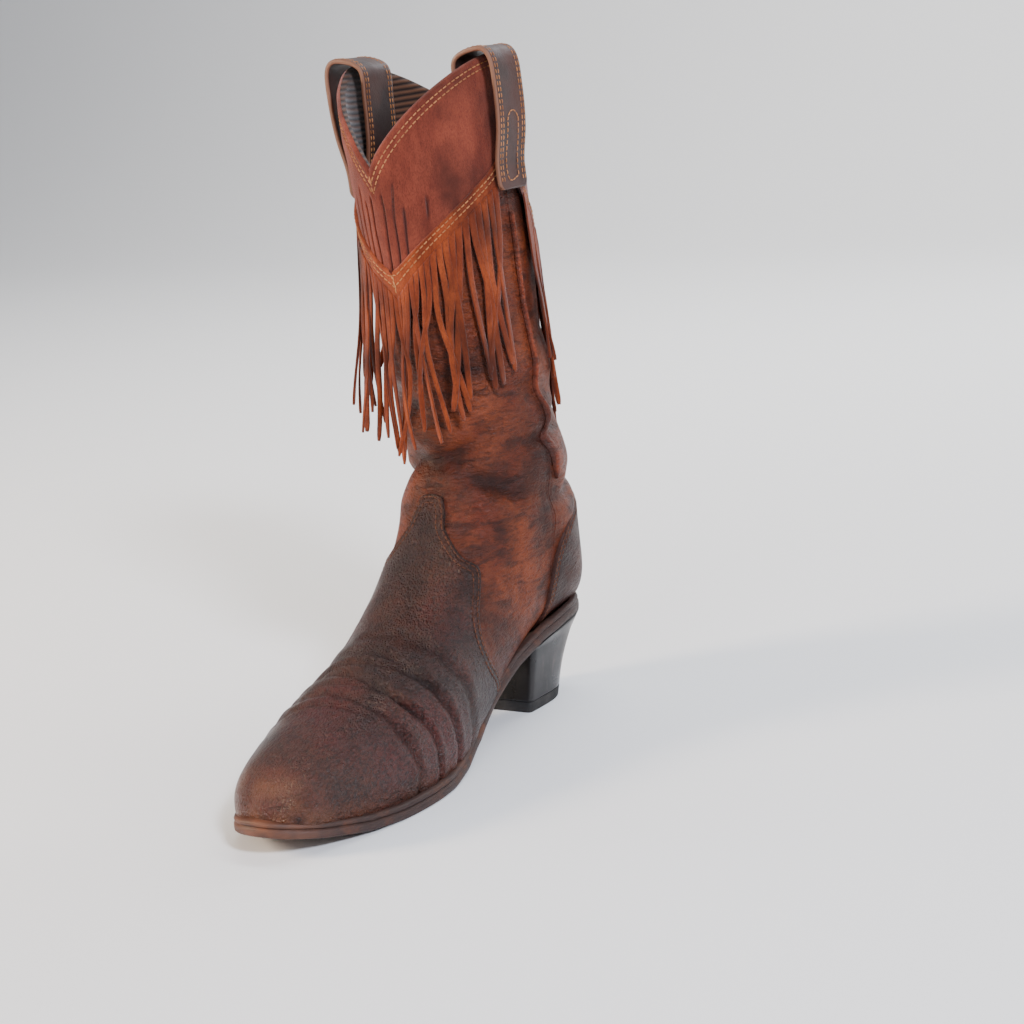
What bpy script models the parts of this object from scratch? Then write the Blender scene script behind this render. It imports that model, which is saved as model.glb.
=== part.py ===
"""Western boot for the right foot, with a fringed suede yoke.

Frame: +Z up, the toe towards -Y, the inner (medial) side towards +X, the floor at Z = 0.
The upper is one smooth surface, a sock drawn over the last. Each leather layer is that surface
at its own offset, and each pattern piece is cut from its layer along its pattern lines.
"""

import math

import bmesh
import bpy
import numpy as np

# ---- Driving dimensions, in metres ----
FRAME_SHIFT = (0.009218, 0.004637)  # from the last's own origin to the frame's
GAP = 0.0003  # between pieces that touch
RIM_PEAK = 0.348  # height of the scalloped top at the sides
RIM_FRONT = 0.298  # height of the dip at the front
RIM_BACK = 0.305  # height of the dip at the back
BAND_SIDE = 0.292  # lower edge of the fringe band at the side seams
BAND_FRONT = 0.231  # the same edge at the front centre
BAND_BACK = 0.186  # and at the back centre
BAND_WIDTH = 0.011
HALF_WIDTH_TOP = 0.0402  # of the shaft
FRINGE_LENGTH = 0.092
FRINGE_GAP = 0.0008  # below the band, so that a lock of fringe can swing
LOCKS = 12  # on each half of the shaft
STRANDS_PER_LOCK = 3
STRAP_WIDTH = 0.026
STRAP_T = 0.0026
STRAP_DROP = 0.068  # from the peak to the strap's outer end
STRAP_STAND = 0.0046  # how far the strap stands off the shaft

LINING = (-0.0014, 0.0)  # inner and outer offset of each layer from the last's surface
INNER_LEATHER = (0.0004, 0.0015)
OUTER_LEATHER = (0.0019, 0.0032)
YOKE_LEATHER = (0.0019, 0.0030)
BAND_LEATHER = (0.0034, 0.0046)

OUTSOLE_T = 0.0045
WELT_T = 0.0025
FEATHER = OUTSOLE_T + WELT_T + 2 * GAP  # the upper stands this far above the sole's underside
INSOLE_T = 0.0024
SOCK_T = 0.0010
TOP_LIFT_T = 0.006
LIFT_T = 0.006
HEEL_BREAST_Y = 0.068

# ---- The last: each row is one section, from the toe to the top ----
# (y, z) of its lower or back point, (y, z) of its upper or front point, half width, centre x,
# squareness of its lower half and of its upper half, and how low its widest point sits.
SECTIONS = np.array([
    (-0.1430, 0.0170, -0.1430, 0.0225, 0.0055, 0.0070, 2.0, 2.0, 0.00),
    (-0.1405, 0.0125, -0.1400, 0.0288, 0.0128, 0.0075, 2.4, 2.2, 0.10),
    (-0.1330, 0.0090, -0.1305, 0.0358, 0.0205, 0.0070, 2.9, 2.3, 0.20),
    (-0.1170, 0.0060, -0.1125, 0.0421, 0.0278, 0.0055, 3.2, 2.3, 0.28),
    (-0.0950, 0.0030, -0.0885, 0.0478, 0.0352, 0.0038, 3.2, 2.2, 0.32),
    (-0.0710, 0.0010, -0.0615, 0.0539, 0.0405, 0.0020, 3.2, 2.1, 0.32),
    (-0.0460, 0.0010, -0.0345, 0.0623, 0.0418, 0.0000, 3.2, 2.0, 0.32),
    (-0.0210, 0.0030, -0.0100, 0.0743, 0.0400, -0.0020, 3.2, 2.0, 0.28),
    (0.0040, 0.0090, 0.0075, 0.0898, 0.0370, -0.0030, 3.0, 2.0, 0.24),
    (0.0290, 0.0190, 0.0212, 0.1073, 0.0350, -0.0030, 2.8, 2.0, 0.20),
    (0.0560, 0.0330, 0.0310, 0.1239, 0.0350, -0.0020, 2.6, 2.0, 0.14),
    (0.0850, 0.0430, 0.0365, 0.1383, 0.0360, -0.0010, 2.5, 2.0, 0.08),
    (0.1110, 0.0465, 0.0390, 0.1501, 0.0368, -0.0005, 2.5, 2.0, 0.04),
    (0.1300, 0.0490, 0.0395, 0.1603, 0.0376, 0.0000, 2.3, 2.0, 0.00),
    (0.1355, 0.0650, 0.0390, 0.1710, 0.0382, -0.0010, 2.1, 2.0, 0.00),
    (0.1370, 0.0880, 0.0380, 0.1820, 0.0384, -0.0021, 2.0, 2.0, 0.00),
    (0.1350, 0.1120, 0.0367, 0.1940, 0.0386, -0.0032, 2.0, 1.95, 0.00),
    (0.1310, 0.1400, 0.0345, 0.2080, 0.0388, -0.0044, 1.95, 1.87, 0.00),
    (0.1300, 0.1680, 0.0320, 0.2240, 0.0390, -0.0058, 1.9, 1.78, 0.00),
    (0.1315, 0.1990, 0.0290, 0.2420, 0.0392, -0.0072, 1.85, 1.7, 0.00),
    (0.1340, 0.2320, 0.0260, 0.2620, 0.0394, -0.0088, 1.8, 1.62, 0.00),
    (0.1365, 0.2670, 0.0230, 0.2850, 0.0397, -0.0106, 1.75, 1.55, 0.00),
    (0.1385, 0.3040, 0.0205, 0.3120, HALF_WIDTH_TOP, -0.0125, 1.7, 1.5, 0.00),
    (0.1395, 0.3600, 0.0190, 0.3600, HALF_WIDTH_TOP, -0.0156, 1.7, 1.5, 0.00),
])
ROWS_PER_SECTION = 1.05
COLUMNS = 24
TOE_START = 0.45  # the first row's section; in front of it the toe closes to a point
TOE_CAP = 0.0012
WARP_START = 19.0  # above this section the rows lean so that the last one follows the rim
FRONT = (math.pi / 2, 3 * math.pi / 2)  # angles round a section; pi is the front centre
BACK = (-math.pi / 2, math.pi / 2)

# ---- The sole: (y, outer edge x, inner edge x) in plan, and (y, z) of its underside ----
SOLE_PLAN = np.array([
    (-0.1510, 0.0050, 0.0100),
    (-0.1485, -0.0040, 0.0180),
    (-0.1425, -0.0110, 0.0250),
    (-0.1290, -0.0210, 0.0330),
    (-0.1070, -0.0325, 0.0415),
    (-0.0850, -0.0415, 0.0465),
    (-0.0660, -0.0462, 0.0485),
    (-0.0460, -0.0480, 0.0473),
    (-0.0240, -0.0472, 0.0420),
    (0.0000, -0.0435, 0.0350),
    (0.0250, -0.0380, 0.0300),
    (0.0500, -0.0350, 0.0300),
    (0.0760, -0.0340, 0.0320),
    (0.1000, -0.0335, 0.0325),
    (0.1170, -0.0298, 0.0292),
    (0.1285, -0.0210, 0.0205),
    (0.1345, -0.0040, 0.0040),
])
SOLE_UNDERSIDE = np.array([
    (-0.1550, 0.0125),
    (-0.1490, 0.0105),
    (-0.1290, 0.0055),
    (-0.1060, 0.0015),
    (-0.0870, 0.0000),
    (-0.0430, 0.0000),
    (-0.0230, 0.0020),
    (0.0000, 0.0085),
    (0.0250, 0.0200),
    (0.0500, 0.0320),
    (0.0750, 0.0400),
    (0.1000, 0.0440),
    (0.1550, 0.0480),
])
# The heel in plan at its top, as (y, half width); it tapers towards the floor.
HEEL_PLAN = [(0.068, 0.0310), (0.100, 0.0320), (0.117, 0.0288), (0.1285, 0.0200), (0.1340, 0.0060)]
HEEL_TAPER = (0.72, 0.66)  # of its width and of its depth, at the floor
NAIL_PLACES = [(0.088, -0.013), (0.088, 0.013), (0.106, 0.0)]
NAIL_R = 0.0012

# ---- Pattern lines in side view, (y, z) ----
# The vamp's edge: the tongue's top on the instep, back to the ankle point, and down to the sole.
VAMP_LINE = [
    (0.0120, 0.1330),
    (0.0280, 0.1318),
    (0.0303, 0.1290),
    (0.0291, 0.1250),
    (0.0269, 0.1195),
    (0.0240, 0.1133),
    (0.0222, 0.1060),
    (0.0222, 0.0990),
    (0.0265, 0.0925),
    (0.0225, 0.0820),
    (0.0165, 0.0719),
    (0.0125, 0.0600),
    (0.0140, 0.0490),
    (0.0220, 0.0380),
    (0.0310, 0.0250),
    (0.0380, 0.0100),
]
COUNTER_LINE = [
    (0.080, 0.010),
    (0.079, 0.055),
    (0.0795, 0.071),
    (0.085, 0.088),
    (0.097, 0.102),
    (0.115, 0.110),
    (0.135, 0.114),
    (0.160, 0.116),
]
SEAM_LINE = [
    (0.0790, 0.400),
    (0.0790, 0.300),
    (0.0795, 0.220),
    (0.0815, 0.150),
    (0.0830, 0.110),
    (0.0760, 0.020),
]


def clear_scene():
    for obj in list(bpy.data.objects):
        bpy.data.objects.remove(obj, do_unlink=True)


def collection(name, helper=False):
    made = bpy.data.collections.new(name)
    bpy.context.scene.collection.children.link(made)
    made.hide_render = helper
    return made


def material(name, color, roughness, metallic=0.0):
    made = bpy.data.materials.new(name)
    made.use_nodes = True
    shader = made.node_tree.nodes["Principled BSDF"]
    shader.inputs["Base Color"].default_value = (*color, 1.0)
    shader.inputs["Roughness"].default_value = roughness
    shader.inputs["Metallic"].default_value = metallic
    return made


# ---- Curves and tables ----
def table_at(table, t):
    """The table's row at a fractional index, on a Catmull-Rom curve through its rows."""
    last = len(table) - 1
    i = min(max(int(math.floor(t)), 0), last - 1)
    f = t - i
    p1, p2 = table[i], table[i + 1]
    p0 = table[i - 1] if i > 0 else 2 * p1 - p2
    p3 = table[i + 2] if i + 2 <= last else 2 * p2 - p1
    first = p2 - p0
    second = 2 * p0 - 5 * p1 + 4 * p2 - p3
    third = 3 * p1 - p0 - 3 * p2 + p3
    return 0.5 * (2 * p1 + first * f + second * f**2 + third * f**3)


def smooth(points, steps=3):
    """A finer run of points through these ones."""
    table = np.array(points, float)
    count = steps * (len(table) - 1) + 1
    return [tuple(table_at(table, t)) for t in np.linspace(0, len(table) - 1, count)]


def underside(y):
    return float(np.interp(y, SOLE_UNDERSIDE[:, 0], SOLE_UNDERSIDE[:, 1]))


# ---- The last's surface ----
def last_point(t, angle):
    """A point of section t; the angle is 0 at its lower or back point, pi at its upper or front one."""
    by, bz, ty, tz, half, centre, low, high, drop = table_at(SECTIONS, t)
    c, s = math.cos(angle), math.sin(angle)
    power = 2 / (low if c > 0 else high)
    along = -math.copysign(abs(c) ** power, c)
    along -= drop * (1 - along * along)
    across = -math.copysign(abs(s) ** power, s)
    f = (along + 1) / 2
    return np.array((centre + half * across, by + (ty - by) * f, bz + (tz - bz) * f))


def last_normal(t, angle):
    along = last_point(t + 0.02, angle) - last_point(t - 0.02, angle)
    around = last_point(t, angle + 0.01) - last_point(t, angle - 0.01)
    normal = np.cross(around, along)
    return normal / np.linalg.norm(normal)


def section_at(angle, z):
    """The section whose point at this angle has this height."""
    low, high = 8.0, float(len(SECTIONS) - 1)
    for _ in range(30):
        middle = (low + high) / 2
        if last_point(middle, angle)[2] < z:
            low = middle
        else:
            high = middle
    return low


def side_share(angle):
    """0 at the front or back centre and 1 at the side seams, evenly round the shaft."""
    return 1 - abs(1 - 2 * ((angle / math.pi) % 1.0))


def rim_height(angle):
    dip = RIM_FRONT if math.cos(angle) < 0 else RIM_BACK
    return dip + (RIM_PEAK - dip) * math.sin(side_share(angle) * math.pi / 2) ** 1.15


def band_height(angle):
    centre = BAND_FRONT if math.cos(angle) < 0 else BAND_BACK
    return centre + (BAND_SIDE - centre) * side_share(angle)


def layer_points(sections, angles, layer):
    """The two leaves of a layer; sections[row][column] gives the last's section to use."""
    inner_leaf, outer_leaf = [], []
    for row in sections:
        for t, angle in zip(row, angles):
            point, normal = last_point(t, angle), last_normal(t, angle)
            inner_leaf.append(point + layer[0] * normal)
            outer_leaf.append(point + layer[1] * normal)
    return inner_leaf, outer_leaf


def shell(name, sections, angles, layer, closed, finish):
    """A closed skin between two offsets."""
    inner_leaf, outer_leaf = layer_points(sections, angles, layer)
    return leaves(name, inner_leaf, outer_leaf, len(sections), len(angles), closed, finish)


def skin_faces(rows, columns, closed):
    """Triangles of two grids of points, the outer one numbered after the inner one.

    Every layer splits its cells along the same diagonal, so that neighbouring layers stay parallel.
    """
    size = rows * columns
    faces = []
    for r in range(rows - 1):
        for c in range(columns if closed else columns - 1):
            d = (c + 1) % columns
            low_c, low_d, high_c, high_d = (
                r * columns + c, r * columns + d, (r + 1) * columns + c, (r + 1) * columns + d
            )
            for corners in ((low_c, high_c, high_d), (low_c, high_d, low_d)):
                faces += [tuple(size + i for i in corners), corners[::-1]]
    return faces


def edge_run(row, columns, closed):
    """Pairs of neighbouring points along one row of a grid."""
    first = row * columns
    return [(first + c, first + (c + 1) % columns) for c in range(columns if closed else columns - 1)]


def rim_faces(edges, size):
    return [(a, b, size + b, size + a) for a, b in edges]


def leaves(name, inner_leaf, outer_leaf, rows, columns, closed, finish):
    """Two grids of points joined into one closed solid."""
    size = rows * columns
    edges = edge_run(0, columns, closed) + edge_run(rows - 1, columns, closed)
    if not closed:
        for r in range(rows - 1):
            edges.append((r * columns, (r + 1) * columns))
            edges.append(((r + 1) * columns - 1, (r + 2) * columns - 1))
    faces = skin_faces(rows, columns, closed) + rim_faces(edges, size)
    return solid(name, [tuple(p) for p in inner_leaf + outer_leaf], faces, finish)


def solid(name, points, faces, finish):
    mesh = bpy.data.meshes.new(name)
    mesh.from_pydata(points, [], faces)
    work = bmesh.new()
    work.from_mesh(mesh)
    bmesh.ops.recalc_face_normals(work, faces=work.faces)
    work.to_mesh(mesh)
    work.free()
    return node(name, mesh, finish)


def node(name, mesh, finish):
    obj = bpy.data.objects.new(name, mesh)
    BOOT.objects.link(obj)
    mesh.materials.clear()
    mesh.materials.append(finish)
    return obj


# ---- Flat outlines made solid ----
def prism_mesh(name, outlines, plane, low, high):
    """A solid from closed outlines in a plane ('yz' or 'xy'), from low to high along the third axis."""
    curve = bpy.data.curves.new(name, "CURVE")
    curve.dimensions = "2D"
    curve.fill_mode = "BOTH"
    curve.extrude = (high - low) / 2
    for outline in outlines:
        spline = curve.splines.new("POLY")
        spline.points.add(len(outline) - 1)
        for point, (a, b) in zip(spline.points, outline):
            point.co = (a, b, 0, 1)
        spline.use_cyclic_u = True
    drawn = bpy.data.objects.new(name + "_outline", curve)
    BOOT.objects.link(drawn)
    quarter = math.pi / 2
    if plane == "yz":
        drawn.rotation_euler = (quarter, 0, quarter)
        drawn.location = ((low + high) / 2, 0, 0)
    else:
        drawn.location = (0, 0, (low + high) / 2)
    bpy.context.view_layer.update()
    graph = bpy.context.evaluated_depsgraph_get()
    mesh = bpy.data.meshes.new_from_object(drawn.evaluated_get(graph))
    work = bmesh.new()
    work.from_mesh(mesh)
    bmesh.ops.remove_doubles(work, verts=work.verts, dist=1e-6)
    bmesh.ops.transform(work, matrix=drawn.matrix_world, verts=work.verts)
    bmesh.ops.recalc_face_normals(work, faces=work.faces)
    work.to_mesh(mesh)
    work.free()
    bpy.data.objects.remove(drawn, do_unlink=True)
    bpy.data.curves.remove(curve)
    return mesh


def cutter(name, outlines, plane="yz", low=-0.3, high=0.3):
    made = bpy.data.objects.new(name, prism_mesh(name, outlines, plane, low, high))
    CUTTERS.objects.link(made)
    made.hide_render = True
    made.display_type = "WIRE"
    return made


def cut_to(obj, keep=(), remove=()):
    for operation, others in (("DIFFERENCE", remove), ("INTERSECT", keep)):
        for other in others:
            modifier = obj.modifiers.new(operation.title(), "BOOLEAN")
            modifier.operation = operation
            modifier.solver = "EXACT"
            modifier.use_self = True
            modifier.object = other
    return obj


clear_scene()
BOOT = collection("western_boot")
CUTTERS = collection("cutters", helper=True)

VAMP_FINISH = material("vamp_leather", (0.115, 0.048, 0.030), 0.42)
SHAFT_FINISH = material("shaft_leather", (0.250, 0.062, 0.022), 0.55)
SUEDE_FINISH = material("suede", (0.360, 0.095, 0.032), 0.90)
STRAP_FINISH = material("strap_leather", (0.090, 0.035, 0.020), 0.50)
LINING_FINISH = material("ribbed_lining", (0.130, 0.075, 0.048), 0.85)
STIFFENER_FINISH = material("stiffener", (0.500, 0.420, 0.300), 0.80)
SOLE_FINISH = material("sole_leather", (0.095, 0.050, 0.032), 0.50)
INSOLE_FINISH = material("insole_leather", (0.420, 0.270, 0.150), 0.75)
HEEL_FINISH = material("heel_lacquer", (0.012, 0.011, 0.012), 0.28)
RUBBER_FINISH = material("rubber", (0.020, 0.020, 0.020), 0.80)
STEEL_FINISH = material("steel", (0.550, 0.550, 0.560), 0.30, 1.0)
CORK_FINISH = material("cork", (0.300, 0.180, 0.090), 0.90)


# ---- Regions the leather is cut to, in side view ----
def side_region(name, line, far, shift=0.0):
    outline = [(y + shift, z) for y, z in smooth(line)]
    return cutter(name, [outline + far])


def under_feather():
    line = [(y, underside(y) + FEATHER) for y in np.linspace(-0.170, 0.170, 69)]
    return cutter("below_upper", [line + [(0.170, -0.05), (-0.170, -0.05)]])


VAMP_FAR = [(-0.22, 0.010), (-0.22, 0.1330)]
COUNTER_FAR = [(0.22, 0.116), (0.22, 0.010)]
FRONT_FAR = [(-0.22, 0.02), (-0.22, 0.40)]
BACK_FAR = [(0.22, 0.02), (0.22, 0.40)]
BELOW_UPPER = under_feather()
VAMP_REGION = side_region("vamp_region", VAMP_LINE, VAMP_FAR)
UNDER_VAMP = side_region("under_vamp", VAMP_LINE, VAMP_FAR, shift=-0.0120)
UNDER_VAMP_TIGHT = side_region("under_vamp_tight", VAMP_LINE, VAMP_FAR, shift=-0.0124)
COUNTER_REGION = side_region("counter_region", COUNTER_LINE, COUNTER_FAR)
UNDER_COUNTER = side_region("under_counter", COUNTER_LINE, COUNTER_FAR, shift=0.0120)
UNDER_COUNTER_TIGHT = side_region("under_counter_tight", COUNTER_LINE, COUNTER_FAR, shift=0.0124)
FRONT_REGION = side_region("front_region", SEAM_LINE, FRONT_FAR, shift=-0.0002)
BACK_REGION = side_region("back_region", SEAM_LINE, BACK_FAR, shift=0.0002)
PUFF_REGION = cutter("puff_region", [[(-0.20, -0.02), (-0.1002, -0.02), (-0.1002, 0.10), (-0.20, 0.10)]])
REST_REGION = cutter("behind_puff", [[(-0.20, -0.02), (-0.0998, -0.02), (-0.0998, 0.10), (-0.20, 0.10)]])


# ---- The upper ----
def sock_sections():
    """Rows of sections for the whole sock; the top rows lean until the last one is the rim."""
    count = int(ROWS_PER_SECTION * (len(SECTIONS) - 1)) + 1
    angles = [2 * math.pi * c / COLUMNS for c in range(COLUMNS)]
    rim = [section_at(a, rim_height(a)) for a in angles]
    end = len(SECTIONS) - 1.6
    rows = []
    for t in np.linspace(TOE_START, end, count):
        if t <= WARP_START:
            rows.append([t] * COLUMNS)
        else:
            share = (t - WARP_START) / (end - WARP_START)
            rows.append([WARP_START + (top - WARP_START) * share for top in rim])
    return rows, angles


def upper_piece(name, layer, finish, keep=(), remove=()):
    """A pattern piece of one layer of the sock."""
    rows, angles = sock_sections()
    inner_leaf, outer_leaf = layer_points(rows, angles, layer)
    size, columns = len(inner_leaf), len(angles)
    faces = skin_faces(len(rows), columns, True)
    faces += rim_faces(edge_run(len(rows) - 1, columns, True), size)
    tips = []
    for leaf, offset in ((inner_leaf, layer[0]), (outer_leaf, layer[1])):
        middle = np.mean(leaf[:columns], axis=0)
        tips.append(np.array((middle[0], middle[1] - TOE_CAP - 0.4 * offset, middle[2])))
    for c, d in edge_run(0, columns, True):
        faces += [(2 * size, c, d), (2 * size + 1, size + d, size + c)]
    points = [tuple(p) for p in inner_leaf + outer_leaf + tips]
    return cut_to(solid(name, points, faces, finish), keep, remove)


def shaft_panel(name, half, layer, finish, low, high, rows, margin=0.0):
    """A patch of the shaft between two heights, each given as a function of the angle."""
    count = COLUMNS // 2
    angles = [half[0] + (half[1] - half[0]) * c / count for c in range(count + 1)]
    angles[0] += margin
    angles[-1] -= margin
    bottoms = [section_at(a, low(a)) for a in angles]
    tops = [section_at(a, high(a)) for a in angles]
    sections = [[b + (t - b) * r / rows for b, t in zip(bottoms, tops)] for r in range(rows + 1)]
    return shell(name, sections, angles, layer, False, finish)


upper_piece("vamp", OUTER_LEATHER, VAMP_FINISH, [VAMP_REGION], [BELOW_UPPER])
upper_piece("counter_cover", OUTER_LEATHER, SHAFT_FINISH, [COUNTER_REGION], [BELOW_UPPER])
upper_piece("shaft_front", INNER_LEATHER, SHAFT_FINISH, [FRONT_REGION], [UNDER_VAMP, BELOW_UPPER])
upper_piece("shaft_back", INNER_LEATHER, SHAFT_FINISH, [BACK_REGION], [UNDER_COUNTER, BELOW_UPPER])
upper_piece("toe_puff", INNER_LEATHER, STIFFENER_FINISH, [PUFF_REGION], [BELOW_UPPER])
upper_piece("vamp_lining", INNER_LEATHER, LINING_FINISH, [UNDER_VAMP_TIGHT], [REST_REGION, BELOW_UPPER])
upper_piece("counter_stiffener", INNER_LEATHER, STIFFENER_FINISH, [UNDER_COUNTER_TIGHT], [BELOW_UPPER])
upper_piece("lining_front", LINING, LINING_FINISH, [FRONT_REGION], [BELOW_UPPER])
upper_piece("lining_back", LINING, LINING_FINISH, [BACK_REGION], [BELOW_UPPER])

SEAM_MARGIN = 0.004
for half_name, half in (("front", FRONT), ("back", BACK)):
    shaft_panel(
        f"yoke_{half_name}", half, YOKE_LEATHER, SUEDE_FINISH,
        lambda a: band_height(a) + 0.003, rim_height, 5, SEAM_MARGIN,
    )
    shaft_panel(
        f"fringe_band_{half_name}", half, BAND_LEATHER, SUEDE_FINISH,
        band_height, lambda a: band_height(a) + BAND_WIDTH, 1, SEAM_MARGIN,
    )


# ---- Fringe: locks of strands, hanging from the band ----
LOCK_MARGIN = 0.25  # radians left free beside each side seam, for the pull straps
LOCK_SIDE_GAP = 0.03  # share of a lock's width left free at its sides
SLIT_SHARE = 0.034  # share of a lock's width taken by each slit
HEADING = 0.006
BAND_MIDDLE = (BAND_LEATHER[0] + BAND_LEATHER[1]) / 2


def lock_angle(half, step):
    first, last = half[0] + LOCK_MARGIN, half[1] - LOCK_MARGIN
    return first + (last - first) * step / LOCKS


def lock_place(half, index):
    """The two top corners of a lock, under the band, and the way it faces."""
    corners = []
    for step in (index, index + 1):
        angle = lock_angle(half, step)
        t = section_at(angle, band_height(angle) - FRINGE_GAP)
        corners.append(last_point(t, angle) + BAND_MIDDLE * last_normal(t, angle))
    run = corners[1] - corners[0]
    outward = np.cross(run, (0, 0, 1.0))
    return corners[0], run, outward / np.linalg.norm(outward)


def lock_lean(half, index, top, outward):
    """How far outward the lock leans, per length, where it rests on the boot below."""
    angle = lock_angle(half, index + 0.5)
    lean = 0.0
    for down in np.linspace(0.02, FRINGE_LENGTH, 10):
        t = section_at(angle, max(top[2] - down, 0.080))
        wall = last_point(t, angle) + (OUTER_LEATHER[1] + 0.0016) * last_normal(t, angle)
        lean = max(lean, float(outward @ (wall - top)) / down)
    return lean


def fringe_lock(name, half, index):
    """A comb of strands: a joined heading along the band, cut into strands below."""
    corner, run, outward = lock_place(half, index)
    lean = lock_lean(half, index, corner + run / 2, outward)
    hang = outward * lean - np.array((0, 0, 1.0))
    usable = 1 - 2 * LOCK_SIDE_GAP
    edges = []
    for k in range(STRANDS_PER_LOCK):
        left = LOCK_SIDE_GAP + usable * k / STRANDS_PER_LOCK + (SLIT_SHARE / 2 if k else 0)
        right = LOCK_SIDE_GAP + usable * (k + 1) / STRANDS_PER_LOCK
        right -= SLIT_SHARE / 2 if k < STRANDS_PER_LOCK - 1 else 0
        length = FRINGE_LENGTH * (0.94 + 0.06 * math.sin(2.3 * index + 1.9 * k))
        edges.append((left, right, length))
    outline = [(LOCK_SIDE_GAP, 0.0), (1 - LOCK_SIDE_GAP, 0.0)]
    for k in reversed(range(STRANDS_PER_LOCK)):
        left, right, length = edges[k]
        outline += [(right, length), (left, length * 0.97)]
        if k:
            outline += [(left, HEADING), (edges[k - 1][1], HEADING)]
    half_t = (BAND_LEATHER[1] - BAND_LEATHER[0]) / 2
    points = []
    for side in (-half_t, half_t):
        points += [tuple(corner + run * share + down * hang + side * outward) for share, down in outline]
    n = len(outline)
    faces = [tuple(range(n))[::-1], tuple(range(n, 2 * n))]
    faces += [(i, (i + 1) % n, n + (i + 1) % n, n + i) for i in range(n)]
    return solid(name, points, faces, SUEDE_FINISH)


for half_name, half in (("front", FRONT), ("back", BACK)):
    for lock in range(LOCKS):
        fringe_lock(f"fringe_{half_name}_{lock + 1:02d}", half, lock)


# ---- Pull straps: folded leather over the rim at each side ----
def wall_x(z, offset, side):
    """The x of the shaft's side surface at a height."""
    angle = 3 * math.pi / 2 if side > 0 else math.pi / 2
    t = section_at(angle, z)
    return abs(last_point(t, angle)[0]) + offset


def strap_path(side):
    """The strap's mid line in (distance from the shaft's axis, height), outer end to inner end."""
    half = STRAP_T / 2
    outer_end = RIM_PEAK - STRAP_DROP
    flat = BAND_LEATHER[1] + 2 * GAP + half
    inner = LINING[0] - 0.0048 - half
    return [
        (wall_x(outer_end, flat, side), outer_end),
        (wall_x(outer_end + 0.014, flat, side), outer_end + 0.014),
        (wall_x(outer_end + 0.032, flat + STRAP_STAND * 0.75, side), outer_end + 0.032),
        (wall_x(RIM_PEAK - 0.018, flat + STRAP_STAND, side), RIM_PEAK - 0.018),
        (wall_x(RIM_PEAK - 0.004, flat + STRAP_STAND * 0.8, side), RIM_PEAK - 0.002),
        (wall_x(RIM_PEAK, 0.0035, side), RIM_PEAK + 0.0030),
        (wall_x(RIM_PEAK - 0.004, inner - STRAP_STAND * 0.7, side), RIM_PEAK - 0.002),
        (wall_x(RIM_PEAK - 0.018, inner - STRAP_STAND * 0.8, side), RIM_PEAK - 0.018),
        (wall_x(outer_end + 0.032, inner - STRAP_STAND * 0.5, side), outer_end + 0.030),
        (wall_x(outer_end + 0.018, inner, side), outer_end + 0.018),
        (wall_x(outer_end + 0.008, inner, side), outer_end + 0.008),
    ]


def pull_strap(name, side):
    path = np.array(smooth(strap_path(side), 2))
    along = np.gradient(path, axis=0)
    along /= np.linalg.norm(along, axis=1, keepdims=True)
    normal = np.stack((along[:, 1], -along[:, 0]), axis=1)
    leaf = {}
    for key, offset in (("out", STRAP_T / 2), ("in", -STRAP_T / 2)):
        line = path + offset * normal
        grid = []
        for x, z in line:
            for y in (-0.5, 0.5):
                grid.append(np.array((side * x, 0.0785 + y * STRAP_WIDTH, z)))
        leaf[key] = grid
    return leaves(name, leaf["in"], leaf["out"], len(path), 2, False, STRAP_FINISH)


pull_strap("pull_strap_medial", 1)
pull_strap("pull_strap_lateral", -1)


# ---- Side piping over the seams ----
def side_piping(name, angle):
    """A raised strip over the seam, narrowing to a leaf at its lower end."""
    rows = [(0.128, 0.0010), (0.134, 0.0046), (0.142, 0.0052), (0.152, 0.0034)]
    rows += [(z, 0.0026) for z in (0.172, 0.192, 0.212, 0.232, 0.252, 0.268)]
    inner_leaf, outer_leaf = [], []
    for z, half in rows:
        t = section_at(angle, z)
        radius = 0.05
        for share in (-1, 0, 1):
            turned = angle + share * half / radius
            normal = last_normal(t, turned)
            point = last_point(t, turned)
            inner_leaf.append(point + OUTER_LEATHER[0] * normal)
            outer_leaf.append(point + (OUTER_LEATHER[1] - (0.0004 if share else 0.0)) * normal)
    return leaves(name, inner_leaf, outer_leaf, len(rows), 3, False, SHAFT_FINISH)


side_piping("side_piping_medial", 3 * math.pi / 2)
side_piping("side_piping_lateral", math.pi / 2)


# ---- Sole ----
def plan_row(y):
    """The sole's outline at a length: (y, outer side x, inner side x)."""
    return tuple(np.interp(y, SOLE_PLAN[:, 0], SOLE_PLAN[:, k]) for k in range(3))


def sole_slab(name, low, high, first, last, finish, inset=0.0):
    """A layer of the sole between two rises above its underside, from the toe end to the heel end."""
    rows = [row for row in smooth(SOLE_PLAN, 2) if first < row[0] < last]
    if first > SOLE_PLAN[0][0]:
        rows.insert(0, plan_row(first))
    if last < SOLE_PLAN[-1][0]:
        rows.append(plan_row(last))
    lower, upper = [], []
    for y, outer, inner in rows:
        base = underside(y)
        for x in (outer + inset, inner - inset):
            lower.append(np.array((x, y, base + low)))
            upper.append(np.array((x, y, base + high)))
    return leaves(name, lower, upper, len(rows), 2, False, finish)


def plan_outline(inset, first, last):
    rows = [row for row in smooth(SOLE_PLAN, 2) if first <= row[0] <= last]
    outer_side = [(outer + inset, y) for y, outer, inner in rows]
    inner_side = [(inner - inset, y) for y, outer, inner in rows]
    return outer_side + inner_side[::-1]


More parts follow.
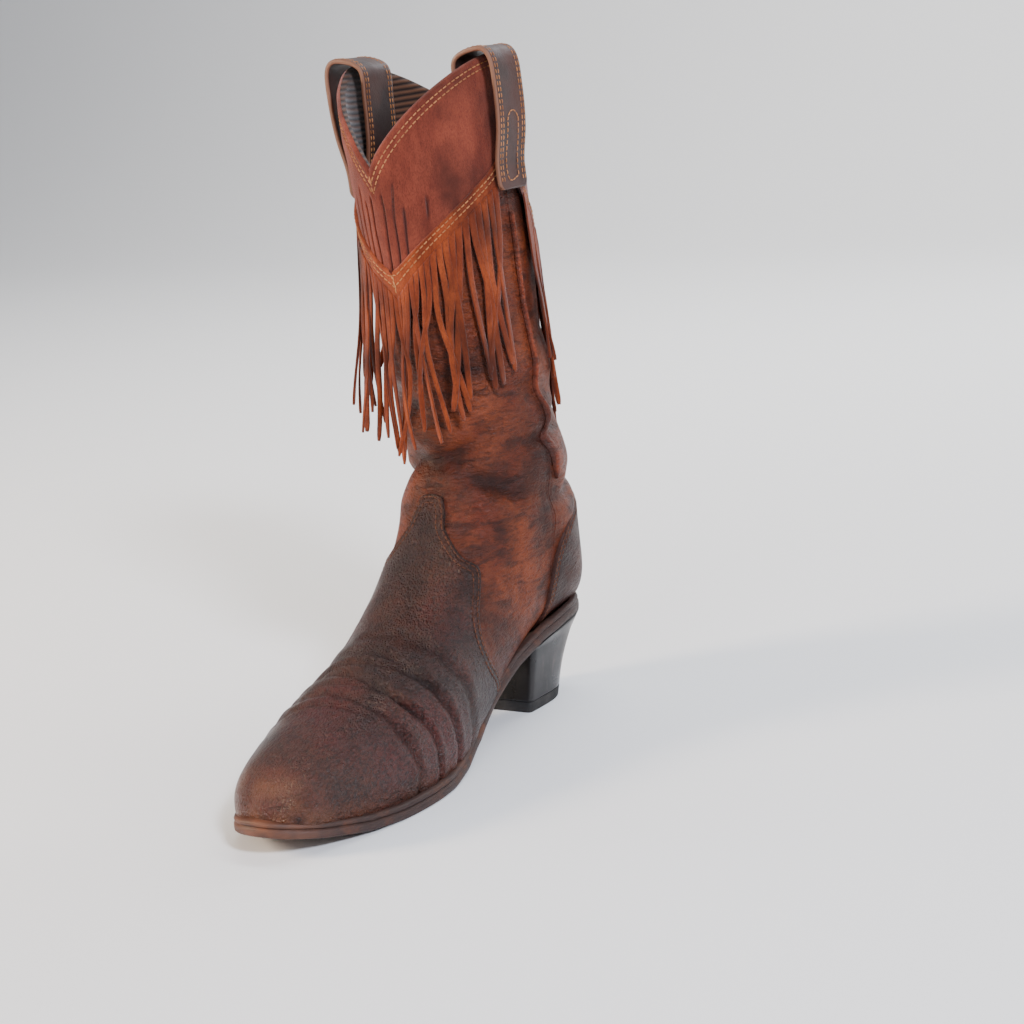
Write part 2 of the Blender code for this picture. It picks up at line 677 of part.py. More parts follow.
def inside_form(name, offset):
    """The space inside the foot as a closed form, to cut the bottom pieces to."""
    rows, angles = sock_sections()
    rows = [row for row in rows if row[0] < 17.0]
    leaf, _ = layer_points(rows, angles, (offset, offset))
    cells = skin_faces(len(rows), COLUMNS, True)[1::2]
    caps = [tuple(range(COLUMNS)), tuple(range(len(leaf) - COLUMNS, len(leaf)))[::-1]]
    made = solid(name, [tuple(p) for p in leaf], cells + caps, LINING_FINISH)
    BOOT.objects.unlink(made)
    CUTTERS.objects.link(made)
    made.hide_render = True
    made.display_type = "WIRE"
    return made


INSIDE = inside_form("inside_form", LINING[0] - GAP)
SOLE_END = SOLE_PLAN[-1][0]
WELT_LOW = OUTSOLE_T + GAP
WELT_HIGH = WELT_LOW + WELT_T
FILLER_REGION = cutter("filler_region", [plan_outline(0.0110, -0.139, 0.125)], "xy")
FILLER_TIGHT = cutter("filler_tight", [plan_outline(0.0113, -0.138, -0.020)], "xy")

sole_slab("outsole", 0.0, OUTSOLE_T, -0.2, SOLE_END + 0.01, SOLE_FINISH)
cut_to(sole_slab("welt", WELT_LOW, WELT_HIGH, -0.2, SOLE_END + 0.01, SOLE_FINISH), (), [FILLER_REGION])
cut_to(sole_slab("cork_filler", WELT_LOW, WELT_HIGH, -0.2, 0.0, CORK_FINISH), [FILLER_TIGHT])
insole_low = WELT_HIGH + GAP
sock_low = insole_low + INSOLE_T + GAP
cut_to(sole_slab("insole", insole_low, insole_low + INSOLE_T, -0.2, 0.2, INSOLE_FINISH), [INSIDE])
cut_to(sole_slab("sock_liner", sock_low, sock_low + SOCK_T, -0.2, 0.2, LINING_FINISH), [INSIDE])


def shank():
    rows = [(y, underside(y)) for y in np.linspace(-0.014, 0.100, 10)]
    lower, upper = [], []
    for y, base in rows:
        for x in (-0.0065, 0.0065):
            lower.append(np.array((x - 0.001, y, base + WELT_LOW + 0.0004)))
            upper.append(np.array((x - 0.001, y, base + WELT_LOW + 0.0019)))
    return leaves("shank", lower, upper, len(rows), 2, False, STEEL_FINISH)


shank()


# ---- Heel ----
def heel_outline(z, high):
    """The heel's outline at a height, as (x, y)."""
    share = 1 - z / high
    wide = 1 + (HEEL_TAPER[0] - 1) * share
    deep = 1 + (HEEL_TAPER[1] - 1) * share
    rows = [(HEEL_BREAST_Y + (y - HEEL_BREAST_Y) * deep, half * wide) for y, half in smooth(HEEL_PLAN, 2)]
    return [(-half, y) for y, half in rows] + [(half, y) for y, half in reversed(rows)]


HEEL_TOP_Z = 0.0470
NAIL_SIDES = 8


def heel_layer(name, low, high, finish):
    bottom = heel_outline(low, HEEL_TOP_Z)
    top = heel_outline(high, HEEL_TOP_Z)
    n = len(bottom)
    points = [(x, y, low) for x, y in bottom] + [(x, y, high) for x, y in top]
    faces = [tuple(range(n))[::-1], tuple(range(n, 2 * n))]
    faces += [(i, (i + 1) % n, n + (i + 1) % n, n + i) for i in range(n)]
    return solid(name, points, faces, finish)


def nail_circle(x, y, radius):
    turns = [2 * math.pi * k / NAIL_SIDES for k in range(NAIL_SIDES)]
    return [(x + radius * math.cos(a), y + radius * math.sin(a)) for a in turns]


def below_sole(name, rise):
    line = [(y, underside(y) + rise) for y in np.linspace(0.0, 0.17, 35)]
    return cutter(name, [line + [(0.17, 0.2), (0.0, 0.2)]])


ABOVE_SEAT = below_sole("above_seat", -GAP)
HOLES = [
    cutter(f"nail_hole_{i + 1}", [nail_circle(x, y, NAIL_R + 0.0002)], "xy", TOP_LIFT_T + 0.0052, 0.2)
    for i, (y, x) in enumerate(NAIL_PLACES)
]
heel_layer("heel_top_lift", 0.0, TOP_LIFT_T, RUBBER_FINISH)
level = TOP_LIFT_T + GAP
for lift in range(1, 6):
    seat = lift == 5
    high = 0.0600 if seat else level + LIFT_T
    made = heel_layer(f"heel_lift_{lift}", level, high, HEEL_FINISH)
    cut_to(made, (), HOLES + ([ABOVE_SEAT] if seat else []))
    level = high + GAP
for i, (y, x) in enumerate(NAIL_PLACES):
    high = underside(y) - 0.0012
    mesh = prism_mesh(f"heel_nail_{i + 1}", [nail_circle(x, y, NAIL_R)], "xy", TOP_LIFT_T + 0.0055, high)
    node(f"heel_nail_{i + 1}", mesh, STEEL_FINISH)


# ---- The frame: the origin under the middle of the whole boot ----
for obj in list(BOOT.objects) + list(CUTTERS.objects):
    obj.location.x += FRAME_SHIFT[0]
    obj.location.y += FRAME_SHIFT[1]
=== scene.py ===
"""Looks of the fringed western boot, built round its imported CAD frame.

The boot's upper repeats the CAD form at a fine mesh: a table of sections from the toe to the rim,
cut along the same pattern lines. Leather layers, creases, stitching and fringe are added to it.
Frame: +Z up, toe towards -Y, inner side towards +X, in metres.
"""

import math

import bpy
import numpy as np
from mathutils import Matrix, Vector, kdtree


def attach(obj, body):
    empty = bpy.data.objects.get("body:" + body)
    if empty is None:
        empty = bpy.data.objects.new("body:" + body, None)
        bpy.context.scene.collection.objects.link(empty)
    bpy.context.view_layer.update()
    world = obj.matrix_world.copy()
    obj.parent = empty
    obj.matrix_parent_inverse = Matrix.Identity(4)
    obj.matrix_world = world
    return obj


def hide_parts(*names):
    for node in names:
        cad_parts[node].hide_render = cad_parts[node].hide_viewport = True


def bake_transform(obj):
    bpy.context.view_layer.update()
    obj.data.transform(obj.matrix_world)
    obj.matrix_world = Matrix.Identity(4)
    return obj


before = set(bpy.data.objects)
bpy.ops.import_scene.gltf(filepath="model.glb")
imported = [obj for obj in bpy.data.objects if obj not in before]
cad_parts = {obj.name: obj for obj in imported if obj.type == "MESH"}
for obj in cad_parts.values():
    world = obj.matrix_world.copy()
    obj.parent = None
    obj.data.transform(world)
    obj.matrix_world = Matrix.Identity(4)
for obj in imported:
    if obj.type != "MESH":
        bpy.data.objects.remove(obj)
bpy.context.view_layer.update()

# ---- Form, as in the CAD ----
SHIFT = np.array((0.009218, 0.004637, 0.0))
RIM_PEAK, RIM_FRONT, RIM_BACK, HALF_WIDTH_TOP = 0.348, 0.298, 0.305, 0.0402
BAND_SIDE, BAND_FRONT, BAND_BACK, BAND_WIDTH = 0.292, 0.231, 0.186, 0.011
FRINGE_LENGTH, LOCKS, STRANDS_PER_LOCK, LOCK_MARGIN = 0.092, 12, 3, 0.25
STRAP_WIDTH, STRAP_T, STRAP_DROP, STRAP_STAND, STRAP_Y = 0.026, 0.0026, 0.068, 0.0046, 0.0785
LINING_IN = -0.0014
INNER_OUT = 0.0015
FOLD = 0.0008
OUTER_OUT = 0.0032
YOKE_OUT = 0.0030
BAND_OUT = 0.0046
OUTSOLE_T, WELT_T = 0.0045, 0.0025
HEEL_BREAST_Y, HEEL_TOP_Z, TOP_LIFT_T = 0.068, 0.0470, 0.006
TOE_START = 0.45
SECTIONS = np.array([
    (-0.1430, 0.0170, -0.1430, 0.0225, 0.0055, 0.0070, 2.0, 2.0, 0.00),
    (-0.1405, 0.0125, -0.1400, 0.0288, 0.0128, 0.0075, 2.4, 2.2, 0.10),
    (-0.1330, 0.0090, -0.1305, 0.0358, 0.0205, 0.0070, 2.9, 2.3, 0.20),
    (-0.1170, 0.0060, -0.1125, 0.0421, 0.0278, 0.0055, 3.2, 2.3, 0.28),
    (-0.0950, 0.0030, -0.0885, 0.0478, 0.0352, 0.0038, 3.2, 2.2, 0.32),
    (-0.0710, 0.0010, -0.0615, 0.0539, 0.0405, 0.0020, 3.2, 2.1, 0.32),
    (-0.0460, 0.0010, -0.0345, 0.0623, 0.0418, 0.0000, 3.2, 2.0, 0.32),
    (-0.0210, 0.0030, -0.0100, 0.0743, 0.0400, -0.0020, 3.2, 2.0, 0.28),
    (0.0040, 0.0090, 0.0075, 0.0898, 0.0370, -0.0030, 3.0, 2.0, 0.24),
    (0.0290, 0.0190, 0.0212, 0.1073, 0.0350, -0.0030, 2.8, 2.0, 0.20),
    (0.0560, 0.0330, 0.0310, 0.1239, 0.0350, -0.0020, 2.6, 2.0, 0.14),
    (0.0850, 0.0430, 0.0365, 0.1383, 0.0360, -0.0010, 2.5, 2.0, 0.08),
    (0.1110, 0.0465, 0.0390, 0.1501, 0.0368, -0.0005, 2.5, 2.0, 0.04),
    (0.1300, 0.0490, 0.0395, 0.1603, 0.0376, 0.0000, 2.3, 2.0, 0.00),
    (0.1355, 0.0650, 0.0390, 0.1710, 0.0382, -0.0010, 2.1, 2.0, 0.00),
    (0.1370, 0.0880, 0.0380, 0.1820, 0.0384, -0.0021, 2.0, 2.0, 0.00),
    (0.1350, 0.1120, 0.0367, 0.1940, 0.0386, -0.0032, 2.0, 1.95, 0.00),
    (0.1310, 0.1400, 0.0345, 0.2080, 0.0388, -0.0044, 1.95, 1.87, 0.00),
    (0.1300, 0.1680, 0.0320, 0.2240, 0.0390, -0.0058, 1.9, 1.78, 0.00),
    (0.1315, 0.1990, 0.0290, 0.2420, 0.0392, -0.0072, 1.85, 1.7, 0.00),
    (0.1340, 0.2320, 0.0260, 0.2620, 0.0394, -0.0088, 1.8, 1.62, 0.00),
    (0.1365, 0.2670, 0.0230, 0.2850, 0.0397, -0.0106, 1.75, 1.55, 0.00),
    (0.1385, 0.3040, 0.0205, 0.3120, HALF_WIDTH_TOP, -0.0125, 1.7, 1.5, 0.00),
    (0.1395, 0.3600, 0.0190, 0.3600, HALF_WIDTH_TOP, -0.0156, 1.7, 1.5, 0.00),
])
SOLE_PLAN = np.array([
    (-0.1510, 0.0050, 0.0100),
    (-0.1485, -0.0040, 0.0180),
    (-0.1425, -0.0110, 0.0250),
    (-0.1290, -0.0210, 0.0330),
    (-0.1070, -0.0325, 0.0415),
    (-0.0850, -0.0415, 0.0465),
    (-0.0660, -0.0462, 0.0485),
    (-0.0460, -0.0480, 0.0473),
    (-0.0240, -0.0472, 0.0420),
    (0.0000, -0.0435, 0.0350),
    (0.0250, -0.0380, 0.0300),
    (0.0500, -0.0350, 0.0300),
    (0.0760, -0.0340, 0.0320),
    (0.1000, -0.0335, 0.0325),
    (0.1170, -0.0298, 0.0292),
    (0.1285, -0.0210, 0.0205),
    (0.1345, -0.0040, 0.0040),
])
SOLE_UNDERSIDE = np.array([
    (-0.1550, 0.0125),
    (-0.1490, 0.0105),
    (-0.1290, 0.0055),
    (-0.1060, 0.0015),
    (-0.0870, 0.0000),
    (-0.0430, 0.0000),
    (-0.0230, 0.0020),
    (0.0000, 0.0085),
    (0.0250, 0.0200),
    (0.0500, 0.0320),
    (0.0750, 0.0400),
    (0.1000, 0.0440),
    (0.1550, 0.0480),
])
HEEL_PLAN = [(0.068, 0.0310), (0.100, 0.0320), (0.117, 0.0288), (0.1285, 0.0200), (0.1340, 0.0060)]
HEEL_TAPER = (0.72, 0.66)
VAMP_LINE = [
    (0.0120, 0.1330),
    (0.0280, 0.1318),
    (0.0303, 0.1290),
    (0.0291, 0.1250),
    (0.0269, 0.1195),
    (0.0240, 0.1133),
    (0.0222, 0.1060),
    (0.0222, 0.0990),
    (0.0265, 0.0925),
    (0.0225, 0.0820),
    (0.0165, 0.0719),
    (0.0125, 0.0600),
    (0.0140, 0.0490),
    (0.0220, 0.0380),
    (0.0310, 0.0250),
    (0.0380, 0.0100),
]
COUNTER_LINE = [
    (0.080, 0.010),
    (0.079, 0.055),
    (0.0795, 0.071),
    (0.085, 0.088),
    (0.097, 0.102),
    (0.115, 0.110),
    (0.135, 0.114),
    (0.160, 0.116),
]
SEAM_LINE = [
    (0.0790, 0.400),
    (0.0790, 0.300),
    (0.0795, 0.220),
    (0.0815, 0.150),
    (0.0830, 0.110),
    (0.0760, 0.020),
]


# ---- Numbers along curves ----
def table_at(table, t):
    """The table's rows at fractional indices, on a Catmull-Rom curve through its rows."""
    t = np.asarray(t, float)
    last = len(table) - 1
    i = np.clip(np.floor(t).astype(int), 0, last - 1)
    f = (t - i)[..., None]
    p1, p2 = table[i], table[i + 1]
    p0 = np.where((i > 0)[..., None], table[np.maximum(i - 1, 0)], 2 * p1 - p2)
    p3 = np.where((i + 2 <= last)[..., None], table[np.minimum(i + 2, last)], 2 * p2 - p1)
    first, second = p2 - p0, 2 * p0 - 5 * p1 + 4 * p2 - p3
    third = 3 * p1 - p0 - 3 * p2 + p3
    return 0.5 * (2 * p1 + first * f + second * f**2 + third * f**3)


def smooth(points, count):
    table = np.array(points, float)
    return table_at(table, np.linspace(0, len(table) - 1, count))


def hill(x, centre, width):
    return np.exp(-(((x - centre) / width) ** 2))


def ease(x, low, high):
    f = np.clip((x - low) / (high - low), 0, 1)
    return f * f * (3 - 2 * f)


def hashed(cells, seed):
    """A repeatable number from 0 to 1 for each whole-number cell."""
    keys = cells.astype(np.int64) @ np.array((73856093, 19349663, 83492791)) + seed * 2654435761
    keys = (keys ^ (keys >> 13)) * 1274126177
    return ((keys ^ (keys >> 16)) & 0xFFFFFF) / float(0xFFFFFF)


def lumps(points, size, seed=0):
    """Smooth noise from -1 to 1 with lumps of about this size, in metres."""
    scaled = points / size
    cell = np.floor(scaled)
    f = scaled - cell
    f = f * f * (3 - 2 * f)
    total = 0.0
    for dx in (0, 1):
        for dy in (0, 1):
            for dz in (0, 1):
                corner = np.array((dx, dy, dz))
                weight = np.prod(np.where(corner, f, 1 - f), axis=-1)
                total = total + weight * hashed(cell + corner, seed)
    return 2 * total - 1


# ---- The upper's form ----
def form_points(t, angle):
    by, bz, ty, tz, half, centre, low, high, drop = np.moveaxis(table_at(SECTIONS, t), -1, 0)
    c, s = np.cos(angle), np.sin(angle)
    power = 2 / np.where(c > 0, low, high)
    along = -np.sign(c) * np.abs(c) ** power
    along = along - drop * (1 - along * along)
    across = -np.sign(s) * np.abs(s) ** power
    f = (along + 1) / 2
    return np.stack((centre + half * across, by + (ty - by) * f, bz + (tz - bz) * f), -1)


def form_normals(t, angle):
    along = form_points(t + 0.03, angle) - form_points(t - 0.03, angle)
    around = form_points(t, angle + 0.012) - form_points(t, angle - 0.012)
    normal = np.cross(around, along)
    return normal / (np.linalg.norm(normal, axis=-1, keepdims=True) + 1e-12)


def side_share(angle):
    return 1 - np.abs(1 - 2 * np.mod(angle / np.pi, 1.0))


def rim_height(angle):
    dip = np.where(np.cos(angle) < 0, RIM_FRONT, RIM_BACK)
    return dip + (RIM_PEAK - dip) * np.sin(side_share(angle) * np.pi / 2) ** 1.15


def band_height(angle):
    centre = np.where(np.cos(angle) < 0, BAND_FRONT, BAND_BACK)
    return centre + (BAND_SIDE - centre) * side_share(angle)


def section_at(angle, z):
    """The section whose point at this angle has this height."""
    angle, z = np.broadcast_arrays(np.asarray(angle, float), np.asarray(z, float))
    low, high = np.full(angle.shape, 8.0), np.full(angle.shape, len(SECTIONS) - 1.0)
    for _ in range(30):
        middle = (low + high) / 2
        below = form_points(middle, angle)[..., 2] < z
        low, high = np.where(below, middle, low), np.where(below, high, middle)
    return low


def wall_point(angle, z, offset):
    t = section_at(angle, z)
    return form_points(t, angle) + offset * form_normals(t, angle)


def underside(y):
    return np.interp(y, SOLE_UNDERSIDE[:, 0], SOLE_UNDERSIDE[:, 1])


def line_distance(points, line):
    """Distance in side view from a pattern line, positive on its right as it is followed."""
    flat = points[..., 1:3]
    nearest = np.full(flat.shape[:-1], 9.0)
    side = np.zeros(flat.shape[:-1])
    for a, b in zip(line[:-1], line[1:]):
        run = b - a
        f = np.clip(((flat - a) @ run) / (run @ run), 0, 1)
        away = flat - (a + f[..., None] * run)
        distance = np.linalg.norm(away, axis=-1)
        turn = run[0] * (flat[..., 1] - a[1]) - run[1] * (flat[..., 0] - a[0])
        closer = distance < nearest - 1e-9
        side = np.where(closer, np.sign(turn), side)
        nearest = np.where(closer, distance, nearest)
    return -nearest * side


# ---- Creases and folds, as heights on the leather ----
# Ball creases: (y at the centre line, lean with x, bow with x squared, depth, width, from x, to x)
BALL_CREASES = [
    (-0.0830, 0.10, 3.0, 0.0011, 0.0021, -0.032, 0.026),
    (-0.0740, -0.05, 4.0, 0.0018, 0.0023, -0.040, 0.042),
    (-0.0640, 0.14, 3.5, 0.0014, 0.0020, -0.016, 0.046),
    (-0.0560, -0.12, 3.0, 0.0020, 0.0025, -0.044, 0.036),
    (-0.0460, 0.16, 4.5, 0.0016, 0.0023, -0.024, 0.046),
    (-0.0370, -0.08, 3.0, 0.0015, 0.0028, -0.042, 0.032),
    (-0.0240, 0.20, 2.5, 0.0011, 0.0030, -0.014, 0.042),
]
# Ankle folds: (angle, height, lean, depth, half length as an angle, width)
ANKLE_FOLDS = [
    (3.25, 0.1480, 0.012, 0.0032, 0.75, 0.0055),
    (4.10, 0.1300, -0.016, 0.0038, 0.60, 0.0060),
    (4.75, 0.1500, 0.014, 0.0035, 0.70, 0.0070),
    (5.10, 0.1200, 0.010, 0.0032, 0.55, 0.0060),
    (4.55, 0.1780, -0.012, 0.0026, 0.65, 0.0080),
    (2.20, 0.1320, 0.016, 0.0038, 0.60, 0.0060),
    (1.55, 0.1520, -0.014, 0.0035, 0.70, 0.0070),
    (1.15, 0.1220, -0.010, 0.0029, 0.55, 0.0060),
    (0.10, 0.1500, 0.010, 0.0026, 0.70, 0.0070),
    (5.90, 0.1750, 0.012, 0.0023, 0.60, 0.0080),
    (3.60, 0.1920, 0.010, 0.0020, 0.70, 0.0090),
    (2.60, 0.1760, -0.012, 0.0023, 0.60, 0.0080),
]


def groove(d, width):
    """The section of a crease: a sharp valley between two soft ridges."""
    ridges = hill(d, 2.1 * width, 1.5 * width) + hill(d, -2.1 * width, 1.5 * width)
    return -hill(d, 0, width) + 0.45 * ridges


def ball_height(points):
    x, y = points[..., 0], points[..., 1]
    wander = 0.0022 * lumps(points, 0.014, 3) + 0.0009 * lumps(points, 0.005, 4)
    height = np.zeros(x.shape)
    for y0, lean, bow, depth, width, low, high in BALL_CREASES:
        d = y - (y0 + lean * x + bow * x * x) + wander
        reach = ease(x, low - 0.008, low + 0.006) * (1 - ease(x, high - 0.006, high + 0.008))
        height += depth * reach * groove(d, width)
    zone = hill(y, -0.055, 0.045)
    height += 0.00035 * zone * lumps(points * np.array((0.5, 1.6, 1.0)), 0.006, 5)
    return height


def ankle_height(points, angle):
    z = points[..., 2]
    wander = 0.0040 * lumps(points, 0.020, 7)
    height = np.zeros(z.shape)
    for middle, z0, lean, depth, reach, width in ANKLE_FOLDS:
        turn = np.mod(angle - middle + np.pi, 2 * np.pi) - np.pi
        d = z - (z0 + lean * turn + 0.010 * turn * turn) + wander
        height += depth * hill(turn, 0, reach) * groove(d, width)
    zone = ease(z, 0.085, 0.120) * (1 - 0.65 * ease(z, 0.19, 0.25))
    height += zone * (0.0012 * lumps(points, 0.026, 8) + 0.0006 * lumps(points, 0.011, 9))
    return height * ease(z, 0.072, 0.110)


def relief(points, angle):
    height = ball_height(points) + ankle_height(points, angle)
    return height + 0.00030 * lumps(points, 0.018, 11)


# ---- Leather sheets cut from the form ----
class Sheet:
    """A fine grid of the form, with fields that its pattern lines are cut at."""

    def __init__(self, sections, angles, closed=False, tip=False):
        t, a = np.broadcast_arrays(sections, angles)
        self.data = np.concatenate((form_points(t, a), form_normals(t, a), t[..., None], a[..., None]), -1)
        if tip:
            self.data = np.concatenate((self.tip_rows(), self.data))
        rows, columns = self.data.shape[:2]
        self.data = self.data.reshape(rows * columns, 8)
        self.faces = []
        for r in range(rows - 1):
            for c in range(columns if closed else columns - 1):
                d = (c + 1) % columns
                near, far = r * columns, (r + 1) * columns
                self.faces.append([near + c, near + d, far + d, far + c])

    def tip_rows(self):
        """Rows that close the form in front of its first section."""
        ring = self.data[0]
        middle = ring[:, 0:3].mean(axis=0)
        rows = []
        for f in (0.02, 0.15, 0.30, 0.45, 0.60, 0.75, 0.88):
            row = ring.copy()
            row[:, 0:3] = middle + (ring[:, 0:3] - middle) * f
            row[:, 1] -= 0.0012 * (1 - f * f)
            lean = np.array((0.0, -1.0, 0.12)) * (1 - f**3)
            row[:, 3:6] = unit(ring[:, 3:6] * f**2 + lean)
            rows.append(row)
        return np.array(rows)

    @property
    def points(self):
        return self.data[:, 0:3]

    @property
    def normals(self):
        return self.data[:, 3:6]

    @property
    def angles(self):
        return self.data[:, 7]

    def add(self, values):
        """Adds a field, and returns its column."""
        self.data = np.concatenate((self.data, np.reshape(values, (-1, 1))), 1)
        return self.data.shape[1] - 1

    def split(self, field, level, keep_both=True):
        """Puts an edge where the field has this level, and can drop what is below it."""
        value = self.data[:, field] - level
        value[np.abs(value) < 2e-5] = 0.0
        above = value > 0
        below = value < 0
        added, made, faces = [], {}, []
        count = len(self.data)

        def crossing(i, j):
            key = (i, j) if i < j else (j, i)
            if key not in made:
                f = value[key[0]] / (value[key[0]] - value[key[1]])
                row = self.data[key[0]] * (1 - f) + self.data[key[1]] * f
                row[field] = level
                made[key] = count + len(added)
                added.append(row)
            return made[key]

        for face in self.faces:
            has_above = any(above[i] for i in face)
            has_below = any(below[i] for i in face)
            if not has_below:
                faces.append(face)
                continue
            if not has_above:
                if keep_both:
                    faces.append(face)
                continue
            upper, lower = [], []
            for i, j in zip(face, face[1:] + face[:1]):
                if not below[i]:
                    upper.append(i)
                if not above[i]:
                    lower.append(i)
                if (above[i] and below[j]) or (below[i] and above[j]):
                    k = crossing(i, j)
                    upper.append(k)
                    lower.append(k)
            if len(upper) > 2:
                faces.append(upper)
            if keep_both and len(lower) > 2:
                faces.append(lower)
        self.faces = faces
        if added:
            self.data = np.concatenate((self.data, np.array(added)))
        return self

    def contour(self, field, level):
        """Runs of points along a level that split() made, as lists of vertex numbers."""
        on = np.abs(self.data[:, field] - level) < 2e-5
        links = {}
        for face in self.faces:
            for i, j in zip(face, face[1:] + face[:1]):
                if on[i] and on[j]:
                    links.setdefault(i, set()).add(j)
                    links.setdefault(j, set()).add(i)
        runs, left = [], set(links)
        ends = [i for i in links if len(links[i]) == 1]
        for start in ends + sorted(links):
            if start not in left:
                continue
            run = [start]
            left.discard(start)
            while True:
                following = [k for k in links[run[-1]] if k in left]
                if not following:
                    break
                run.append(following[0])
                left.discard(run[-1])
            if len(run) > 3:
                runs.append(run)
        return runs

    def mesh(self, name, offsets, finish, body="boot", replaces=()):
        """An object with the sheet's vertices at these offsets from the form."""
        points = self.points + self.normals * np.reshape(offsets, (-1, 1))
        floor = underside(points[:, 1]) + 0.0032
        points[:, 2] = np.maximum(points[:, 2], floor)
        used = sorted({i for face in self.faces for i in face})
        number = {old: new for new, old in enumerate(used)}
        faces = [[number[i] for i in face] for face in self.faces]
        return piece(name, points[used] + SHIFT, faces, finish, body, replaces)


def piece(name, points, faces, finish, body="boot", replaces=(), flat=False):
    mesh = bpy.data.meshes.new(name)
    mesh.from_pydata([tuple(p) for p in points], [], faces)
    mesh.update()
    if not flat:
        mesh.shade_smooth()
    mesh.materials.append(finish)
    obj = bpy.data.objects.new(name, mesh)
    bpy.context.scene.collection.objects.link(obj)
    if body:
        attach(obj, body)
    if replaces:
        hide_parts(*replaces)
    return obj


def strip(rows, caps=False):
    """Points and faces of a surface through rows of points, each row a closed loop."""
    rows = np.asarray(rows, float)
    count, around = rows.shape[:2]
    faces = []
    for r in range(count - 1):
        near, far = r * around, (r + 1) * around
        for c in range(around):
            d = (c + 1) % around
            faces.append([near + c, near + d, far + d, far + c])
    if caps:
        faces.append(list(range(around))[::-1])
        faces.append(list(range((count - 1) * around, count * around)))
    return rows.reshape(-1, 3), faces


class Batch:
    """Many small closed forms gathered into one piece."""

    def __init__(self):
        self.points, self.faces, self.count = [], [], 0

    def add(self, points, faces):
        self.points.append(np.asarray(points, float))
        self.faces += [[self.count + i for i in face] for face in faces]
        self.count += len(points)

    def piece(self, name, finish, body="boot", replaces=()):
        return piece(name, np.concatenate(self.points) + SHIFT, self.faces, finish, body, replaces)


def unit(v):
    return v / (np.linalg.norm(v, axis=-1, keepdims=True) + 1e-12)


# ---- Stitching ----
STITCH_PITCH, STITCH_LENGTH, THREAD_R = 0.0030, 0.0024, 0.00034
# A stitch from hole to hole: (share of its length, rise in thread radii, share of its thickness)
STITCH_SHAPE = ((0, -0.9, 0.55), (0.12, 0.1, 0.9), (0.5, 0.45, 1.0), (0.88, 0.1, 0.9), (1, -0.9, 0.55))


def thread_loop(batch, start, end, out, radius=THREAD_R):
    """One stitch: a short bowed length of thread that dives into the leather at both ends."""
    along = unit(end - start)
    side = unit(np.cross(along, out))
    rows = []
    for f, rise, size in STITCH_SHAPE:
        centre = start + (end - start) * f + out * radius * rise
        ring = []
        for k in range(6):
            turn = 2 * math.pi * k / 6
            ring.append(centre + radius * size * (side * math.cos(turn) + out * 0.8 * math.sin(turn)))
        rows.append(ring)
    batch.add(*strip(rows, caps=True))


def stitch_run(batch, path, normals, rise=0.0, pitch=STITCH_PITCH, skip=None):
    """Stitches at an even pitch along a path that lies on the leather."""
    steps = np.linalg.norm(np.diff(path, axis=0), axis=1)
    along = np.concatenate(([0], np.cumsum(steps)))
    if along[-1] < 2 * pitch:
        return
    for k in range(int(along[-1] / pitch)):
        ends = [k * pitch + 0.5 * (pitch - STITCH_LENGTH), k * pitch + 0.5 * (pitch + STITCH_LENGTH)]
        a, b = [np.array([np.interp(e, along, path[:, i]) for i in range(3)]) for e in ends]
        n = unit(np.array([np.interp(ends[0], along, normals[:, i]) for i in range(3)]))
        if skip is None or not skip(a):
            thread_loop(batch, a + n * rise, b + n * rise, n)


def sheet_stitches(batch, sheet, field, level, offset_at, skip=None):
    for run in sheet.contour(field, level):
        points = sheet.points[run] + sheet.normals[run] * offset_at[run][:, None]
        stitch_run(batch, points, sheet.normals[run], 0.0001, skip=skip)


def rolled(distance, low, high, radius):
    """The offset of a leather's face near its cut edge, where it rounds down to the layer below."""
    f = np.clip(distance / radius, 0, 1)
    return low + (high - low) * np.sqrt(np.clip(1 - (1 - f) ** 2, 0, 1))


def sewn(distance, levels, depth=0.00030, width=0.0009):
    """How far the thread pulls the leather in along its rows."""
    return -depth * sum(hill(distance, level, width) for level in levels)


